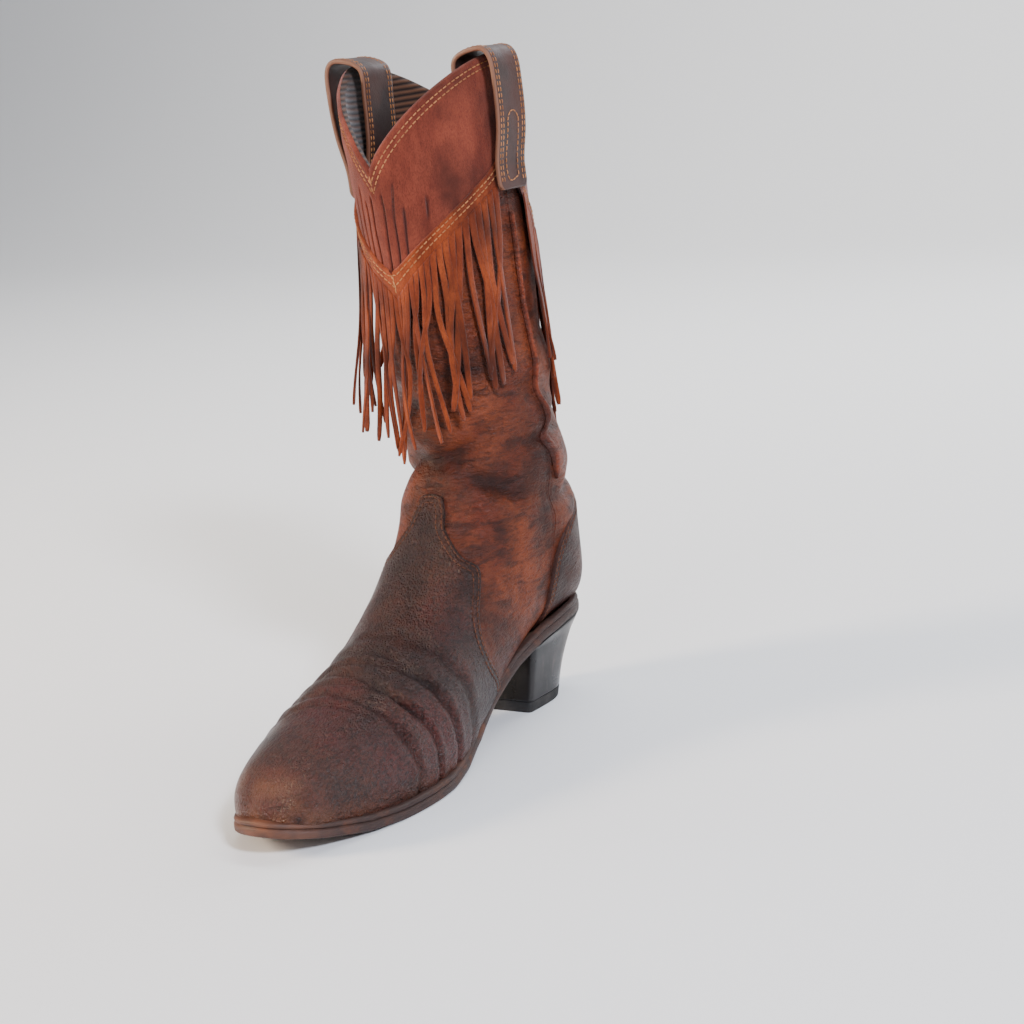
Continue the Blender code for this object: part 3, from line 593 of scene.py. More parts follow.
# ---- Node helpers for the finishes ----
class Finish:
    """A node material around one Principled shader."""

    def __init__(self, name):
        self.material = bpy.data.materials.new(name)
        self.material.use_nodes = True
        self.tree = self.material.node_tree
        self.shader = self.tree.nodes["Principled BSDF"]
        self.place = self.add("ShaderNodeTexCoord").outputs["Object"]

    def add(self, kind, **settings):
        made = self.tree.nodes.new(kind)
        for key, value in settings.items():
            setattr(made, key, value)
        return made

    def link(self, source, target):
        self.tree.links.new(source, target)

    def stretched(self, scale, turn=(0, 0, 0)):
        mapping = self.add("ShaderNodeMapping")
        mapping.inputs["Scale"].default_value = scale
        mapping.inputs["Rotation"].default_value = turn
        self.link(self.place, mapping.inputs["Vector"])
        return mapping.outputs["Vector"]

    def noise(self, scale, detail=4.0, rough=0.55, vector=None, distortion=0.0):
        made = self.add("ShaderNodeTexNoise")
        made.inputs["Scale"].default_value = scale
        made.inputs["Detail"].default_value = detail
        made.inputs["Roughness"].default_value = rough
        made.inputs["Distortion"].default_value = distortion
        self.link(vector or self.place, made.inputs["Vector"])
        return made.outputs["Fac"]

    def cells(self, scale, feature="F1", vector=None, spread=1.0):
        made = self.add("ShaderNodeTexVoronoi", feature=feature)
        made.inputs["Scale"].default_value = scale
        made.inputs["Randomness"].default_value = spread
        self.link(vector or self.place, made.inputs["Vector"])
        return made.outputs["Distance"]

    def ramp(self, source, low, high, to_low=0.0, to_high=1.0):
        made = self.add("ShaderNodeMapRange", interpolation_type="SMOOTHSTEP")
        for key, value in (("From Min", low), ("From Max", high), ("To Min", to_low), ("To Max", to_high)):
            made.inputs[key].default_value = value
        self.link(source, made.inputs["Value"])
        return made.outputs["Result"]

    def sum(self, *weighted):
        total = None
        for source, weight in weighted:
            scaled = self.add("ShaderNodeMath", operation="MULTIPLY")
            self.link(source, scaled.inputs[0])
            scaled.inputs[1].default_value = weight
            if total is None:
                total = scaled.outputs[0]
            else:
                added = self.add("ShaderNodeMath", operation="ADD")
                self.link(total, added.inputs[0])
                self.link(scaled.outputs[0], added.inputs[1])
                total = added.outputs[0]
        return total

    def mixed(self, factor, a, b, blend="MIX"):
        """A colour between a and b; each is a colour triple or another node's output."""
        made = self.add("ShaderNodeMix", data_type="RGBA", blend_type=blend)
        for key, value in (("A", a), ("B", b)):
            socket = [s for s in made.inputs if s.name == key and s.type == "RGBA"][0]
            if isinstance(value, tuple):
                socket.default_value = (*value, 1)
            else:
                self.link(value, socket)
        factor_socket = [s for s in made.inputs if s.name == "Factor" and s.type == "VALUE"][0]
        if isinstance(factor, float):
            factor_socket.default_value = factor
        else:
            self.link(factor, factor_socket)
        return [s for s in made.outputs if s.type == "RGBA"][0]

    def painted(self, name):
        """A value painted on the mesh's points."""
        return self.add("ShaderNodeAttribute", attribute_name=name).outputs["Fac"]

    def finish(self, color, roughness, height=None, distance=0.0002, **sockets):
        if isinstance(color, tuple):
            self.shader.inputs["Base Color"].default_value = (*color, 1)
        else:
            self.link(color, self.shader.inputs["Base Color"])
        if isinstance(roughness, float):
            self.shader.inputs["Roughness"].default_value = roughness
        else:
            self.link(roughness, self.shader.inputs["Roughness"])
        if height is not None:
            bump = self.add("ShaderNodeBump")
            bump.inputs["Distance"].default_value = distance
            bump.inputs["Strength"].default_value = 1.0
            self.link(height, bump.inputs["Height"])
            self.link(bump.outputs["Normal"], self.shader.inputs["Normal"])
            self.link(bump.outputs["Normal"], self.shader.inputs["Coat Normal"])
        for key, value in sockets.items():
            self.shader.inputs[key.replace("_", " ")].default_value = value
        return self.material


def srgb(r, g, b):
    """A linear colour from 8-bit display values."""
    return tuple(c / 12.92 / 255 if c <= 10 else ((c / 255 + 0.055) / 1.055) ** 2.4 for c in (r, g, b))


def pebbled_leather():
    f = Finish("pebbled_vamp_leather")
    bent = f.stretched((1.0, 0.55, 0.8), (0.3, 0.0, 0.5))
    wrinkle = f.noise(760, 3.0, 0.6, bent, 0.7)
    pebble = f.cells(900, "SMOOTH_F1")
    broad = f.noise(26, 5.0, 0.6)
    height = f.sum((wrinkle, 1.1), (pebble, -0.45), (f.noise(1900, 2.0), 0.12))
    base = f.mixed(f.ramp(broad, 0.36, 0.66), srgb(44, 21, 15), srgb(72, 36, 22))
    reddish = f.mixed(f.ramp(f.noise(14, 3.0), 0.46, 0.68), base, srgb(74, 27, 23))
    # Darker in the valleys of the wrinkled grain: painted shade.
    valley_shade = f.mixed(f.ramp(wrinkle, 0.58, 0.36, 0.0, 0.75), reddish, srgb(22, 11, 9))
    scuffed = f.mixed(f.painted("toe_wear"), valley_shade, srgb(112, 68, 44))
    # Dark in the creases: painted shade.
    crease_shaded = f.mixed(f.painted("crease"), scuffed, srgb(24, 13, 11))
    edge = f.mixed(f.painted("edge"), crease_shaded, srgb(30, 16, 12))
    rough = f.ramp(f.noise(60, 4.0), 0.3, 0.7, 0.30, 0.42)
    return f.finish(
        edge, rough, height, 0.0019, Specular_IOR_Level=0.34, Coat_Weight=0.08, Coat_Roughness=0.24
    )


def smooth_leather(name, light, dark, red):
    f = Finish(name)
    across = f.stretched((0.55, 0.55, 1.5), (0.25, 0.1, 0.0))
    wrinkle = f.noise(430, 4.0, 0.6, across, 0.8)
    fold = f.noise(105, 4.0, 0.6, across, 0.5)
    grain = f.cells(1500, "SMOOTH_F1")
    broad = f.noise(20, 5.0, 0.62)
    streaks = f.noise(60, 4.0, 0.6, f.stretched((1.0, 1.0, 0.5)))
    height = f.sum((wrinkle, 0.75), (fold, 1.3), (grain, -0.2))
    base = f.mixed(f.ramp(broad, 0.36, 0.64), dark, light)
    toned = f.mixed(f.ramp(streaks, 0.42, 0.72), base, red)
    # Darker in the valleys of the folds and of the fine wrinkles: painted shade.
    valley_shade = f.mixed(f.ramp(fold, 0.52, 0.32, 0.0, 0.65), toned, srgb(28, 11, 8))
    fine = f.mixed(f.ramp(wrinkle, 0.54, 0.34, 0.0, 0.50), valley_shade, srgb(36, 14, 9))
    # Dark in the creases and folds: painted shade.
    crease_shaded = f.mixed(f.painted("crease"), fine, srgb(26, 10, 8))
    edge = f.mixed(f.painted("edge"), crease_shaded, srgb(52, 24, 16))
    rough = f.ramp(f.noise(45, 4.0), 0.3, 0.7, 0.36, 0.54)
    return f.finish(edge, rough, height, 0.0017, Specular_IOR_Level=0.24)


def suede(name, light, mid, dark, scale=1.0):
    f = Finish(name)
    nap = f.noise(1700, 5.0, 0.7, f.stretched((1.0, 1.0, 0.45)))
    fuzz = f.noise(4200, 2.0)
    brushed = f.noise(75 * scale, 5.0, 0.62, f.stretched((1.0, 1.0, 0.35)))
    patches = f.noise(17, 4.0, 0.55)
    height = f.sum((nap, 0.8), (fuzz, 0.35), (f.noise(260, 3.0), 0.4))
    base = f.mixed(f.ramp(brushed, 0.34, 0.66), mid, light)
    worn = f.mixed(f.ramp(patches, 0.44, 0.70), base, dark)
    fibres = f.mixed(f.ramp(nap, 0.30, 0.60, 0.55, 0.0), worn, dark)
    # Darker where the 'edge' layer is painted: the strands' cut edges, and on the yoke the painted shade in
    # its slits.
    edge = f.mixed(f.painted("edge"), fibres, dark)
    return f.finish(
        edge, 0.92, height, 0.00030, Specular_IOR_Level=0.15, Sheen_Weight=0.15, Sheen_Roughness=0.5
    )


VAMP_LEATHER = pebbled_leather()
SHAFT_LEATHER = smooth_leather("shaft_leather_worn", srgb(118, 54, 26), srgb(58, 25, 14), srgb(88, 34, 17))
# The counter is the shaft's leather made darker: painted shade at the back of the boot, behind the vamp.
COUNTER_LEATHER_SHADED = smooth_leather("counter_leather_worn", srgb(70, 29, 17), srgb(36, 15, 11), srgb(54, 20, 13))
PIPING_LEATHER = smooth_leather("piping_leather", srgb(132, 56, 26), srgb(78, 30, 15), srgb(112, 42, 20))
YOKE_SUEDE = suede("yoke_suede", srgb(132, 62, 44), srgb(98, 42, 30), srgb(58, 25, 19))
FRINGE_SUEDE = suede("fringe_suede", srgb(150, 68, 32), srgb(110, 44, 20), srgb(60, 24, 13), 1.5)


def strap_leather():
    f = Finish("strap_leather_edges")
    height = f.sum((f.cells(1300, "SMOOTH_F1"), -0.5), (f.noise(360, 4.0), 0.5))
    base = f.mixed(f.ramp(f.noise(38, 4.0), 0.36, 0.66), srgb(34, 16, 13), srgb(62, 29, 20))
    raw = f.mixed(f.painted("raw_edge"), base, srgb(112, 72, 52))
    return f.finish(raw, f.ramp(f.noise(70, 3.0), 0.3, 0.7, 0.42, 0.60), height, 0.0002)


def ribbed_lining():
    f = Finish("ribbed_lining_cloth")
    rib = f.add("ShaderNodeTexWave", wave_type="BANDS", bands_direction="Z")
    rib.inputs["Scale"].default_value = 105.0
    rib.inputs["Distortion"].default_value = 0.5
    f.link(f.stretched((1.0, 1.0, 1.0), (0.0, 0.12, 0.0)), rib.inputs["Vector"])
    height = f.sum((rib.outputs["Fac"], 1.0), (f.noise(2400, 3.0), 0.25))
    # Darker in the grooves between the ribs and lighter on their crests: painted shade.
    base = f.mixed(rib.outputs["Fac"], srgb(30, 18, 14), srgb(92, 60, 42))
    patch = f.mixed(f.ramp(f.noise(24, 3.0), 0.42, 0.68, 0.0, 0.6), base, srgb(44, 26, 19))
    return f.finish(patch, 0.88, height, 0.0005, Sheen_Weight=0.2, Specular_IOR_Level=0.2)


def thread_finish(name, color, dark):
    f = Finish(name)
    ply = f.noise(2600, 2.0, 0.5, f.stretched((1.0, 1.0, 0.6)))
    base = f.mixed(f.ramp(f.noise(120, 3.0), 0.35, 0.7), color, dark)
    return f.finish(base, 0.75, f.sum((ply, 1.0)), 0.00012, Specular_IOR_Level=0.3)


def sole_finish():
    f = Finish("sole_edge_leather")
    layers = f.noise(900, 4.0, 0.6, f.stretched((0.25, 0.25, 2.6)))
    worn = f.noise(55, 5.0, 0.65)
    base = f.mixed(f.ramp(layers, 0.35, 0.7, 0.25, 0.75), srgb(34, 20, 17), srgb(66, 42, 34))
    rubbed = f.mixed(f.ramp(worn, 0.50, 0.74), base, srgb(92, 54, 36))
    toe = f.mixed(f.painted("toe_wear"), rubbed, srgb(118, 68, 42))
    height = f.sum((layers, 0.8), (f.noise(300, 3.0), 0.4))
    return f.finish(toe, f.ramp(worn, 0.3, 0.7, 0.50, 0.72), height, 0.0003)


def tread_finish():
    f = Finish("tread_leather")
    scratches = f.noise(120, 6.0, 0.7, f.stretched((1.0, 0.22, 1.0), (0, 0, 0.2)))
    base = f.mixed(f.ramp(f.noise(20, 5.0), 0.36, 0.66), srgb(112, 84, 62), srgb(74, 54, 42))
    marked = f.mixed(f.ramp(scratches, 0.52, 0.72), base, srgb(48, 36, 30))
    return f.finish(marked, 0.66, f.sum((scratches, 0.7), (f.noise(900, 3.0), 0.4)), 0.00025)


def heel_finish():
    f = Finish("heel_lacquer_black")
    scratches = f.noise(160, 5.0, 0.65, f.stretched((1.0, 1.0, 0.25)))
    base = f.mixed(f.ramp(f.noise(30, 4.0), 0.4, 0.7), srgb(16, 14, 14), srgb(34, 29, 28))
    marked = f.mixed(f.ramp(scratches, 0.58, 0.75), base, srgb(62, 52, 48))
    rough = f.ramp(f.noise(80, 4.0), 0.3, 0.7, 0.26, 0.42)
    return f.finish(marked, rough, f.sum((scratches, 0.5), (f.noise(500, 3.0), 0.25)), 0.00012)


def rubber_finish():
    f = Finish("top_lift_rubber")
    base = f.mixed(f.ramp(f.noise(60, 4.0), 0.4, 0.7), srgb(24, 23, 23), srgb(52, 48, 46))
    return f.finish(base, 0.78, f.sum((f.noise(800, 4.0), 0.8)), 0.0002)


def insole_finish():
    f = Finish("sock_liner_cloth")
    base = f.mixed(f.ramp(f.noise(40, 4.0), 0.4, 0.7), srgb(86, 60, 46), srgb(120, 88, 66))
    return f.finish(base, 0.8, f.sum((f.noise(1200, 4.0), 0.8)), 0.0002)


STRAP_LEATHER = strap_leather()
LINING_CLOTH = ribbed_lining()
TAN_THREAD = thread_finish("tan_thread", srgb(176, 118, 74), srgb(132, 82, 50))
DARK_THREAD = thread_finish("brown_thread", srgb(104, 62, 42), srgb(70, 40, 28))
SOLE_LEATHER = sole_finish()
TREAD_LEATHER = tread_finish()
HEEL_LACQUER = heel_finish()
LIFT_RUBBER = rubber_finish()
SOCK_CLOTH = insole_finish()


def paint(obj, name, values):
    layer = obj.data.attributes.new(name, "FLOAT", "POINT")
    layer.data.foreach_set("value", np.asarray(values, np.float32))


# ---- Vamp, counter and shaft ----
def fine_sections(first, last, step):
    return np.arange(first, last + step, step)[:, None]


def used_rows(sheet):
    return sorted({i for face in sheet.faces for i in face})


# The 'crease' layer: dark where the creases and folds dip in, which is painted shade.
def crease_shade_paint(points, angle):
    height = ball_height(points) + ankle_height(points, angle)
    return np.clip(-height / 0.0030 - 0.12, 0, 0.6)


def finish_sheet(sheet, name, offsets, distance, finish, replaces):
    """Makes the piece and paints its edge, the shade in its creases, and wear."""
    obj = sheet.mesh(name, offsets, finish, "boot", replaces)
    rows = used_rows(sheet)
    points, angle = sheet.points[rows], sheet.angles[rows]
    paint(obj, "edge", 0.75 * (1 - ease(distance[rows], 0.0, 0.0016)))
    paint(obj, "crease", crease_shade_paint(points, angle))
    scuffs = 0.5 + 0.5 * lumps(points, 0.006, 21)
    wear = 0.75 * (1 - ease(points[:, 1], -0.143, -0.118)) * scuffs
    low_edge = (1 - ease(points[:, 2] - underside(points[:, 1]), 0.008, 0.018)) * (points[:, 1] < -0.02)
    paint(obj, "toe_wear", np.clip(wear + 0.35 * low_edge * scuffs, 0, 1))
    return obj


def edge_distance(sheet, field, offset=OUTER_OUT):
    """Adds a field with each point's distance from the leather's cut edge, and returns its column."""
    lifted = sheet.points + offset * sheet.normals
    dense = []
    for run in sheet.contour(field, 0.0):
        path = lifted[run]
        for a, b in zip(path[:-1], path[1:]):
            parts = max(1, int(np.linalg.norm(b - a) / 0.00012))
            dense += [a + (b - a) * k / parts for k in range(parts)]
        dense.append(path[-1])
    tree = kdtree.KDTree(len(dense))
    for k, point in enumerate(dense):
        tree.insert(point, k)
    tree.balance()
    return sheet.add([tree.find(point)[2] for point in lifted])


def foot_columns(count):
    """Evenly spaced angles round a section."""
    return np.linspace(0, 2 * np.pi, count, endpoint=False)[None, :]


def make_vamp(thread):
    line = smooth(VAMP_LINE, 120)
    sheet = Sheet(fine_sections(TOE_START, 11.6, 0.036), foot_columns(300), closed=True, tip=True)
    beyond = sheet.add(line_distance(sheet.points + OUTER_OUT * sheet.normals, line))
    sheet.split(beyond, 0.0, keep_both=False)
    inside = edge_distance(sheet, beyond)
    for level in (0.0003, 0.0009, 0.0018, 0.0048):
        sheet.split(inside, level)
    distance = sheet.data[:, inside]
    offsets = rolled(distance, INNER_OUT - 0.0002, OUTER_OUT, 0.0011) + sewn(distance, (0.0018, 0.0048))
    offsets += relief(sheet.points, sheet.angles) * ease(distance, 0, 0.006)
    finish_sheet(sheet, "vamp_skin", offsets, distance, VAMP_LEATHER, ("vamp",))
    for level in (0.0018, 0.0048):
        sheet_stitches(thread, sheet, inside, level, offsets, below_feather)


def below_feather(point):
    return point[2] < underside(point[1]) + OUTSOLE_T + WELT_T


def make_counter(thread):
    line = smooth(COUNTER_LINE, 90)
    columns = np.linspace(-1.75, 1.75, 190)[None, :]
    sheet = Sheet(fine_sections(8.2, 17.4, 0.045), columns)
    beyond = sheet.add(line_distance(sheet.points + OUTER_OUT * sheet.normals, line))
    sheet.split(beyond, 0.0, keep_both=False)
    inside = edge_distance(sheet, beyond)
    for level in (0.0003, 0.0009, 0.0018, 0.0044):
        sheet.split(inside, level)
    distance = sheet.data[:, inside]
    offsets = rolled(distance, INNER_OUT - 0.0002, OUTER_OUT, 0.0011) + sewn(distance, (0.0018, 0.0044))
    offsets += 0.6 * relief(sheet.points, sheet.angles) * ease(distance, 0, 0.006)
    # Its leather is the darker copy of the shaft's: painted shade.
    finish_sheet(
        sheet, "counter_skin", offsets, distance, COUNTER_LEATHER_SHADED, ("counter_cover",)
    )
    for level in (0.0018, 0.0044):
        sheet_stitches(thread, sheet, inside, level, offsets, below_feather)


def rim_sections(first, angles, count, margin=0.0):
    """Rows from a section up to the rim, in which the upper rows lean to follow it."""
    rim = section_at(angles, rim_height(angles) - margin)
    f = np.linspace(0, 1, count)[:, None]
    return first + (rim - first) * f


SHAFT_NODES = {
    "front": ("shaft_front", "vamp_lining", "toe_puff"),
    "back": ("shaft_back", "counter_stiffener"),
}


def make_shaft():
    seam = smooth(SEAM_LINE, 60)
    for half, sign in (("front", 1), ("back", -1)):
        angles = foot_columns(340)
        sheet = Sheet(rim_sections(6.0, angles, 380, 0.0004), angles, closed=True)
        beside = sheet.add(sign * line_distance(sheet.points, seam))
        sheet.split(beside, 0.0, keep_both=False)
        for level in (0.0004, 0.0012):
            sheet.split(beside, level)
        distance = sheet.data[:, beside]
        offsets = rolled(distance, INNER_OUT - 0.0009, INNER_OUT, 0.0010)
        offsets += relief(sheet.points, sheet.angles) - 0.0003 * hill(distance, 0.002, 0.001)
        name, hidden = f"shaft_{half}_skin", SHAFT_NODES[half]
        finish_sheet(sheet, name, offsets, distance + 0.01, SHAFT_LEATHER, hidden)


def make_lining():
    """The ribbed inner face, and the rolled top edge it shares with the yoke."""
    angles = np.linspace(0, 2 * np.pi, 360, endpoint=False)[None, :]
    sheet = Sheet(rim_sections(3.0, angles, 420), angles, closed=True)
    below_rim = rim_height(sheet.angles) - sheet.points[:, 2]
    offsets = rolled(below_rim, FOLD, LINING_IN, 0.0020)
    offsets += 0.4 * ankle_height(sheet.points, sheet.angles)
    sheet.faces = [face[::-1] for face in sheet.faces]
    obj = sheet.mesh("ribbed_lining", offsets, LINING_CLOTH, "boot", ("lining_front", "lining_back"))


def slope_share(sheet, height):
    """Turns a height above a slanting line into the distance from it."""
    step = 0.01
    t, a = sheet.data[:, 6], sheet.angles
    arc = np.linalg.norm(form_points(t, a + step) - form_points(t, a - step), axis=-1)
    rise = height(a + step) - height(a - step)
    return 1 / np.sqrt(1 + (rise / arc) ** 2)


# Slits in the yoke beside its front fold: (distance from the fold, lower end, upper end)
YOKE_SLITS = [
    (-0.0150, 0.250, 0.286),
    (-0.0100, 0.244, 0.291),
    (-0.0060, 0.240, 0.284),
    (-0.0020, 0.238, 0.290),
    (0.0030, 0.239, 0.288),
    (0.0075, 0.242, 0.292),
    (0.0115, 0.247, 0.280),
    (0.0200, 0.268, 0.284),
]


def slit_depth(points, angle):
    """How far each point lies in one of the yoke's slits, from 0 to 1."""
    beside = points[:, 0] - form_points(np.full(1, 21.0), np.full(1, np.pi))[0, 0]
    depth = np.zeros(len(points))
    for place, low, high in YOKE_SLITS:
        wander = 0.0007 * lumps(points * np.array((0.2, 0.2, 1.0)), 0.016, int(1e4 * (place + 1)))
        reach = ease(points[:, 2], low, low + 0.006) * (1 - ease(points[:, 2], high - 0.006, high))
        depth = np.maximum(depth, reach * hill(beside + wander, place, 0.00042))
    return depth * (np.cos(angle) < -0.2)


def make_yoke(thread):
    """The suede collar: its top edge is folded over to meet the lining."""
    angles = np.linspace(0, 2 * np.pi, 900, endpoint=False)[None, :]
    low = section_at(angles, band_height(angles) + 0.0015)
    rim = section_at(angles, rim_height(angles))
    sheet = Sheet(low + (rim - low) * np.linspace(0, 1, 110)[:, None], angles, closed=True)
    edge = sheet.add((rim_height(sheet.angles) - sheet.points[:, 2]) * slope_share(sheet, rim_height))
    for level in (0.0003, 0.0009, 0.0017, 0.0034, 0.0060):
        sheet.split(edge, level)
    distance = sheet.data[:, edge]
    slit = slit_depth(sheet.points, sheet.angles) * ease(distance, 0.008, 0.012)
    offsets = rolled(distance, FOLD, YOKE_OUT, 0.0020) + sewn(distance, (0.0034, 0.0060), 0.00035)
    offsets += 0.00035 * lumps(sheet.points, 0.012, 31)
    offsets += 0.0006 * lumps(sheet.points, 0.035, 32) * ease(distance, 0, 0.02)
    offsets -= 0.0012 * slit
    obj = sheet.mesh("yoke", offsets, YOKE_SUEDE, "boot", ("yoke_front", "yoke_back"))
    # The slits are painted dark in the 'edge' layer: painted shade in the slit openings.
    paint(obj, "edge", np.clip(slit, 0, 1)[used_rows(sheet)])
    for level in (0.0034, 0.0060):
        sheet_stitches(thread, sheet, edge, level, offsets)


def make_band(thread):
    """The strip of suede the strands are cut from, sewn over the yoke's lower edge."""
    angles = np.linspace(0, 2 * np.pi, 720, endpoint=False)[None, :]
    low = section_at(angles, band_height(angles) - 0.0006)
    high = section_at(angles, band_height(angles) + BAND_WIDTH + 0.003)
    sheet = Sheet(low + (high - low) * np.linspace(0, 1, 26)[:, None], angles, closed=True)
    above = (sheet.points[:, 2] - band_height(sheet.angles)) * slope_share(sheet, band_height)
    inside = sheet.add(BAND_WIDTH * 0.74 - above)
    sheet.split(inside, 0.0, keep_both=False)
    for level in (0.0003, 0.0008, 0.0018, 0.0042):
        sheet.split(inside, level)
    distance = sheet.data[:, inside]
    offsets = rolled(distance, YOKE_OUT - 0.0002, BAND_OUT, 0.0010) + sewn(distance, (0.0018, 0.0042), 0.0003)
    offsets += 0.0003 * lumps(sheet.points, 0.008, 41)
    obj = sheet.mesh("fringe_band", offsets, FRINGE_SUEDE, "boot", ("fringe_band_front", "fringe_band_back"))
    paint(obj, "edge", np.zeros(len(obj.data.vertices)))
    for level in (0.0018, 0.0042):
        sheet_stitches(thread, sheet, inside, level, offsets)


# ---- Fringe ----
HALVES = {"front": (np.pi / 2, 3 * np.pi / 2), "back": (3 * np.pi / 2, 5 * np.pi / 2)}
STRAND_T, STRAND_ROWS = 0.0012, 46
WALL_LEVELS, WALL_COLUMNS = 64, 240


def wall_table():
    """The shaft's outer wall round its axis: heights, axis points, and the wall's distance by direction."""
    heights = np.linspace(0.060, 0.310, WALL_LEVELS)
    angles = np.linspace(0, 2 * np.pi, WALL_COLUMNS, endpoint=False)
    a, z = np.meshgrid(angles, heights)
    wall = wall_point(a, z, OUTER_OUT + 0.0016)[..., :2]
    centres = np.stack((wall[:, WALL_COLUMNS // 2, 0], wall[:, WALL_COLUMNS // 4, 1]), 1)
    away = wall - centres[:, None]
    bearings = np.arctan2(-away[..., 0], -away[..., 1]) % (2 * np.pi)
    radii = np.linalg.norm(away, axis=-1)
    each_degree = np.radians(np.arange(361))
    table = [np.interp(each_degree, b, r, period=2 * np.pi) for b, r in zip(bearings, radii)]
    return heights, centres, np.array(table)


def keep_out(points, walls):
    """The points moved out of the shaft to just clear of its wall."""
    heights, centres, table = walls
    row = np.interp(points[:, 2], heights, np.arange(WALL_LEVELS))
    row = np.clip(row, 0, WALL_LEVELS - 1.001)
    low, f = row.astype(int), row % 1
    centre = centres[low] * (1 - f[:, None]) + centres[low + 1] * f[:, None]
    away = points[:, :2] - centre
    column = np.degrees(np.arctan2(-away[:, 0], -away[:, 1])) % 360
    left, g = column.astype(int) % 360, column % 1
    near = table[low, left] * (1 - g) + table[low, left + 1] * g
    far = table[low + 1, left] * (1 - g) + table[low + 1, left + 1] * g
    missing = near * (1 - f) + far * f - np.linalg.norm(away, axis=1)
    moved = points.copy()
    moved[:, :2] += unit(away) * np.maximum(missing, 0)[:, None]
    return moved


def strand_line(top, outward, run, length, seed, walls):
    """The middle line of a strand as it hangs, drifts and curls clear of the boot."""
    random = np.random.default_rng(seed)
    drift, curl = random.normal(0, 0.0075), random.normal(0, 0.0035)
    lift, wave = abs(random.normal(0.0, 0.0045)), random.uniform(0.6, 1.5)
    phase = random.uniform(0, 6.28)
    along = unit(run * np.array((1, 1, 0)))
    f = np.linspace(0, 1, STRAND_ROWS)
    side = drift * f**1.7 + curl * np.sin(wave * np.pi * f + phase) * ease(f, 0.05, 0.5)
    away = 0.0005 + lift * f**1.5 + 0.0012 * np.sin(2.2 * np.pi * f + phase) * f
    line = top + along * side[:, None] + outward * away[:, None]
    line[:, 2] -= length * f
    line[2:] = keep_out(line[2:], walls)
    for _ in range(3):
        line[1:-1] = (line[:-2] + 2 * line[1:-1] + line[2:]) / 4
    return line


def strand(batch, paints, line, outward, run, width, seed):
    """A ribbon of suede with rounded edges round a middle line, twisting on its way down."""
    random = np.random.default_rng(seed + 5000)
    twist = random.normal(0, 0.55)
    kink = random.normal(0, 0.5)
    tangent = unit(np.gradient(line, axis=0))
    rows = []
    count = len(line)
    for k, (point, way) in enumerate(zip(line, tangent)):
        f = k / (count - 1)
        across = unit(run - (run @ way) * way)
        face = unit(np.cross(across, way))
        face = face * np.sign(face @ outward + 1e-9)
        turn = twist * f**1.3 + kink * math.sin(math.pi * f) * f
        a = across * math.cos(turn) + face * math.sin(turn)
        b = face * math.cos(turn) - across * math.sin(turn)
        half = 0.5 * width * (1.01 - 0.07 * ease(f, 0.035, 0.075) - 0.12 * f + 0.04 * math.sin(7 * f + seed))
        half *= 1 - 0.45 * ease(f, 0.965, 1.0)
        slant = run[2] / np.linalg.norm(run[:2]) * (1 - ease(f, 0.02, 0.14))
        thick = 0.5 * STRAND_T
        cup = 0.10 * half * math.sin(2 * f + seed)
        ring = []
        for u, v in RIBBON_PROFILE:
            level = np.array((0, 0, slant * half * u))
            ring.append(point + a * half * u + b * (thick * v + cup * u * u) + level)
        rows.append(ring)
    points, faces = strip(rows, caps=True)
    batch.add(points, faces)
    paints.append(np.tile([0.55 if abs(u) > 0.9 else 0.0 for u, v in RIBBON_PROFILE], count))


RIBBON_PROFILE = [(-0.90, -0.85), (-0.45, -1), (0, -1), (0.45, -1), (0.90, -0.85), (1, -0.3), (1, 0.3)]
RIBBON_PROFILE += [(0.90, 0.85), (0.45, 1), (0, 1), (-0.45, 1), (-0.90, 0.85), (-1, 0.3), (-1, -0.3)]


def make_fringe():
    walls = wall_table()
    for half, (first, last) in HALVES.items():
        first, last = first + LOCK_MARGIN, last - LOCK_MARGIN
        for lock in range(LOCKS):
            batch, paints = Batch(), []
            for k in range(STRANDS_PER_LOCK):
                seed = 97 * lock + 11 * k + (1000 if half == "back" else 0)
                place = (lock + (k + 0.5) / STRANDS_PER_LOCK) / LOCKS
                step = 0.5 / STRANDS_PER_LOCK / LOCKS
                ends = []
                for share in (place - step, place, place + step):
                    a = first + (last - first) * share
                    z = band_height(np.array(a)) + 0.0012
                    ends.append(wall_point(a, z, BAND_OUT - 0.5 * STRAND_T - 0.0001))
                run = ends[2] - ends[0]
                outward = unit(np.cross(run, (0, 0, 1.0)))
                width = np.linalg.norm(run[:2])
                length = FRINGE_LENGTH * (0.95 + 0.07 * math.sin(2.3 * lock + 1.9 * k + 0.5 * seed))
                line = strand_line(ends[1], outward, unit(run), length, seed, walls)
                strand(batch, paints, line, outward, unit(run), width, seed)
            body = f"fringe_{half}_{lock + 1:02d}"
            make_lock(batch, paints, body)


def make_lock(batch, paints, body):
    obj = batch.piece(f"strands_{half_number(body)}", FRINGE_SUEDE, None)
    paint(obj, "edge", np.concatenate(paints))
    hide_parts(body)
    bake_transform(obj)


def half_number(body):
    return body.removeprefix("fringe_")


# ---- Pull straps ----
def side_x(z, offset, side):
    angle = 3 * np.pi / 2 if side > 0 else np.pi / 2
    return abs(form_points(section_at(angle, z), np.array(angle))[0]) + offset


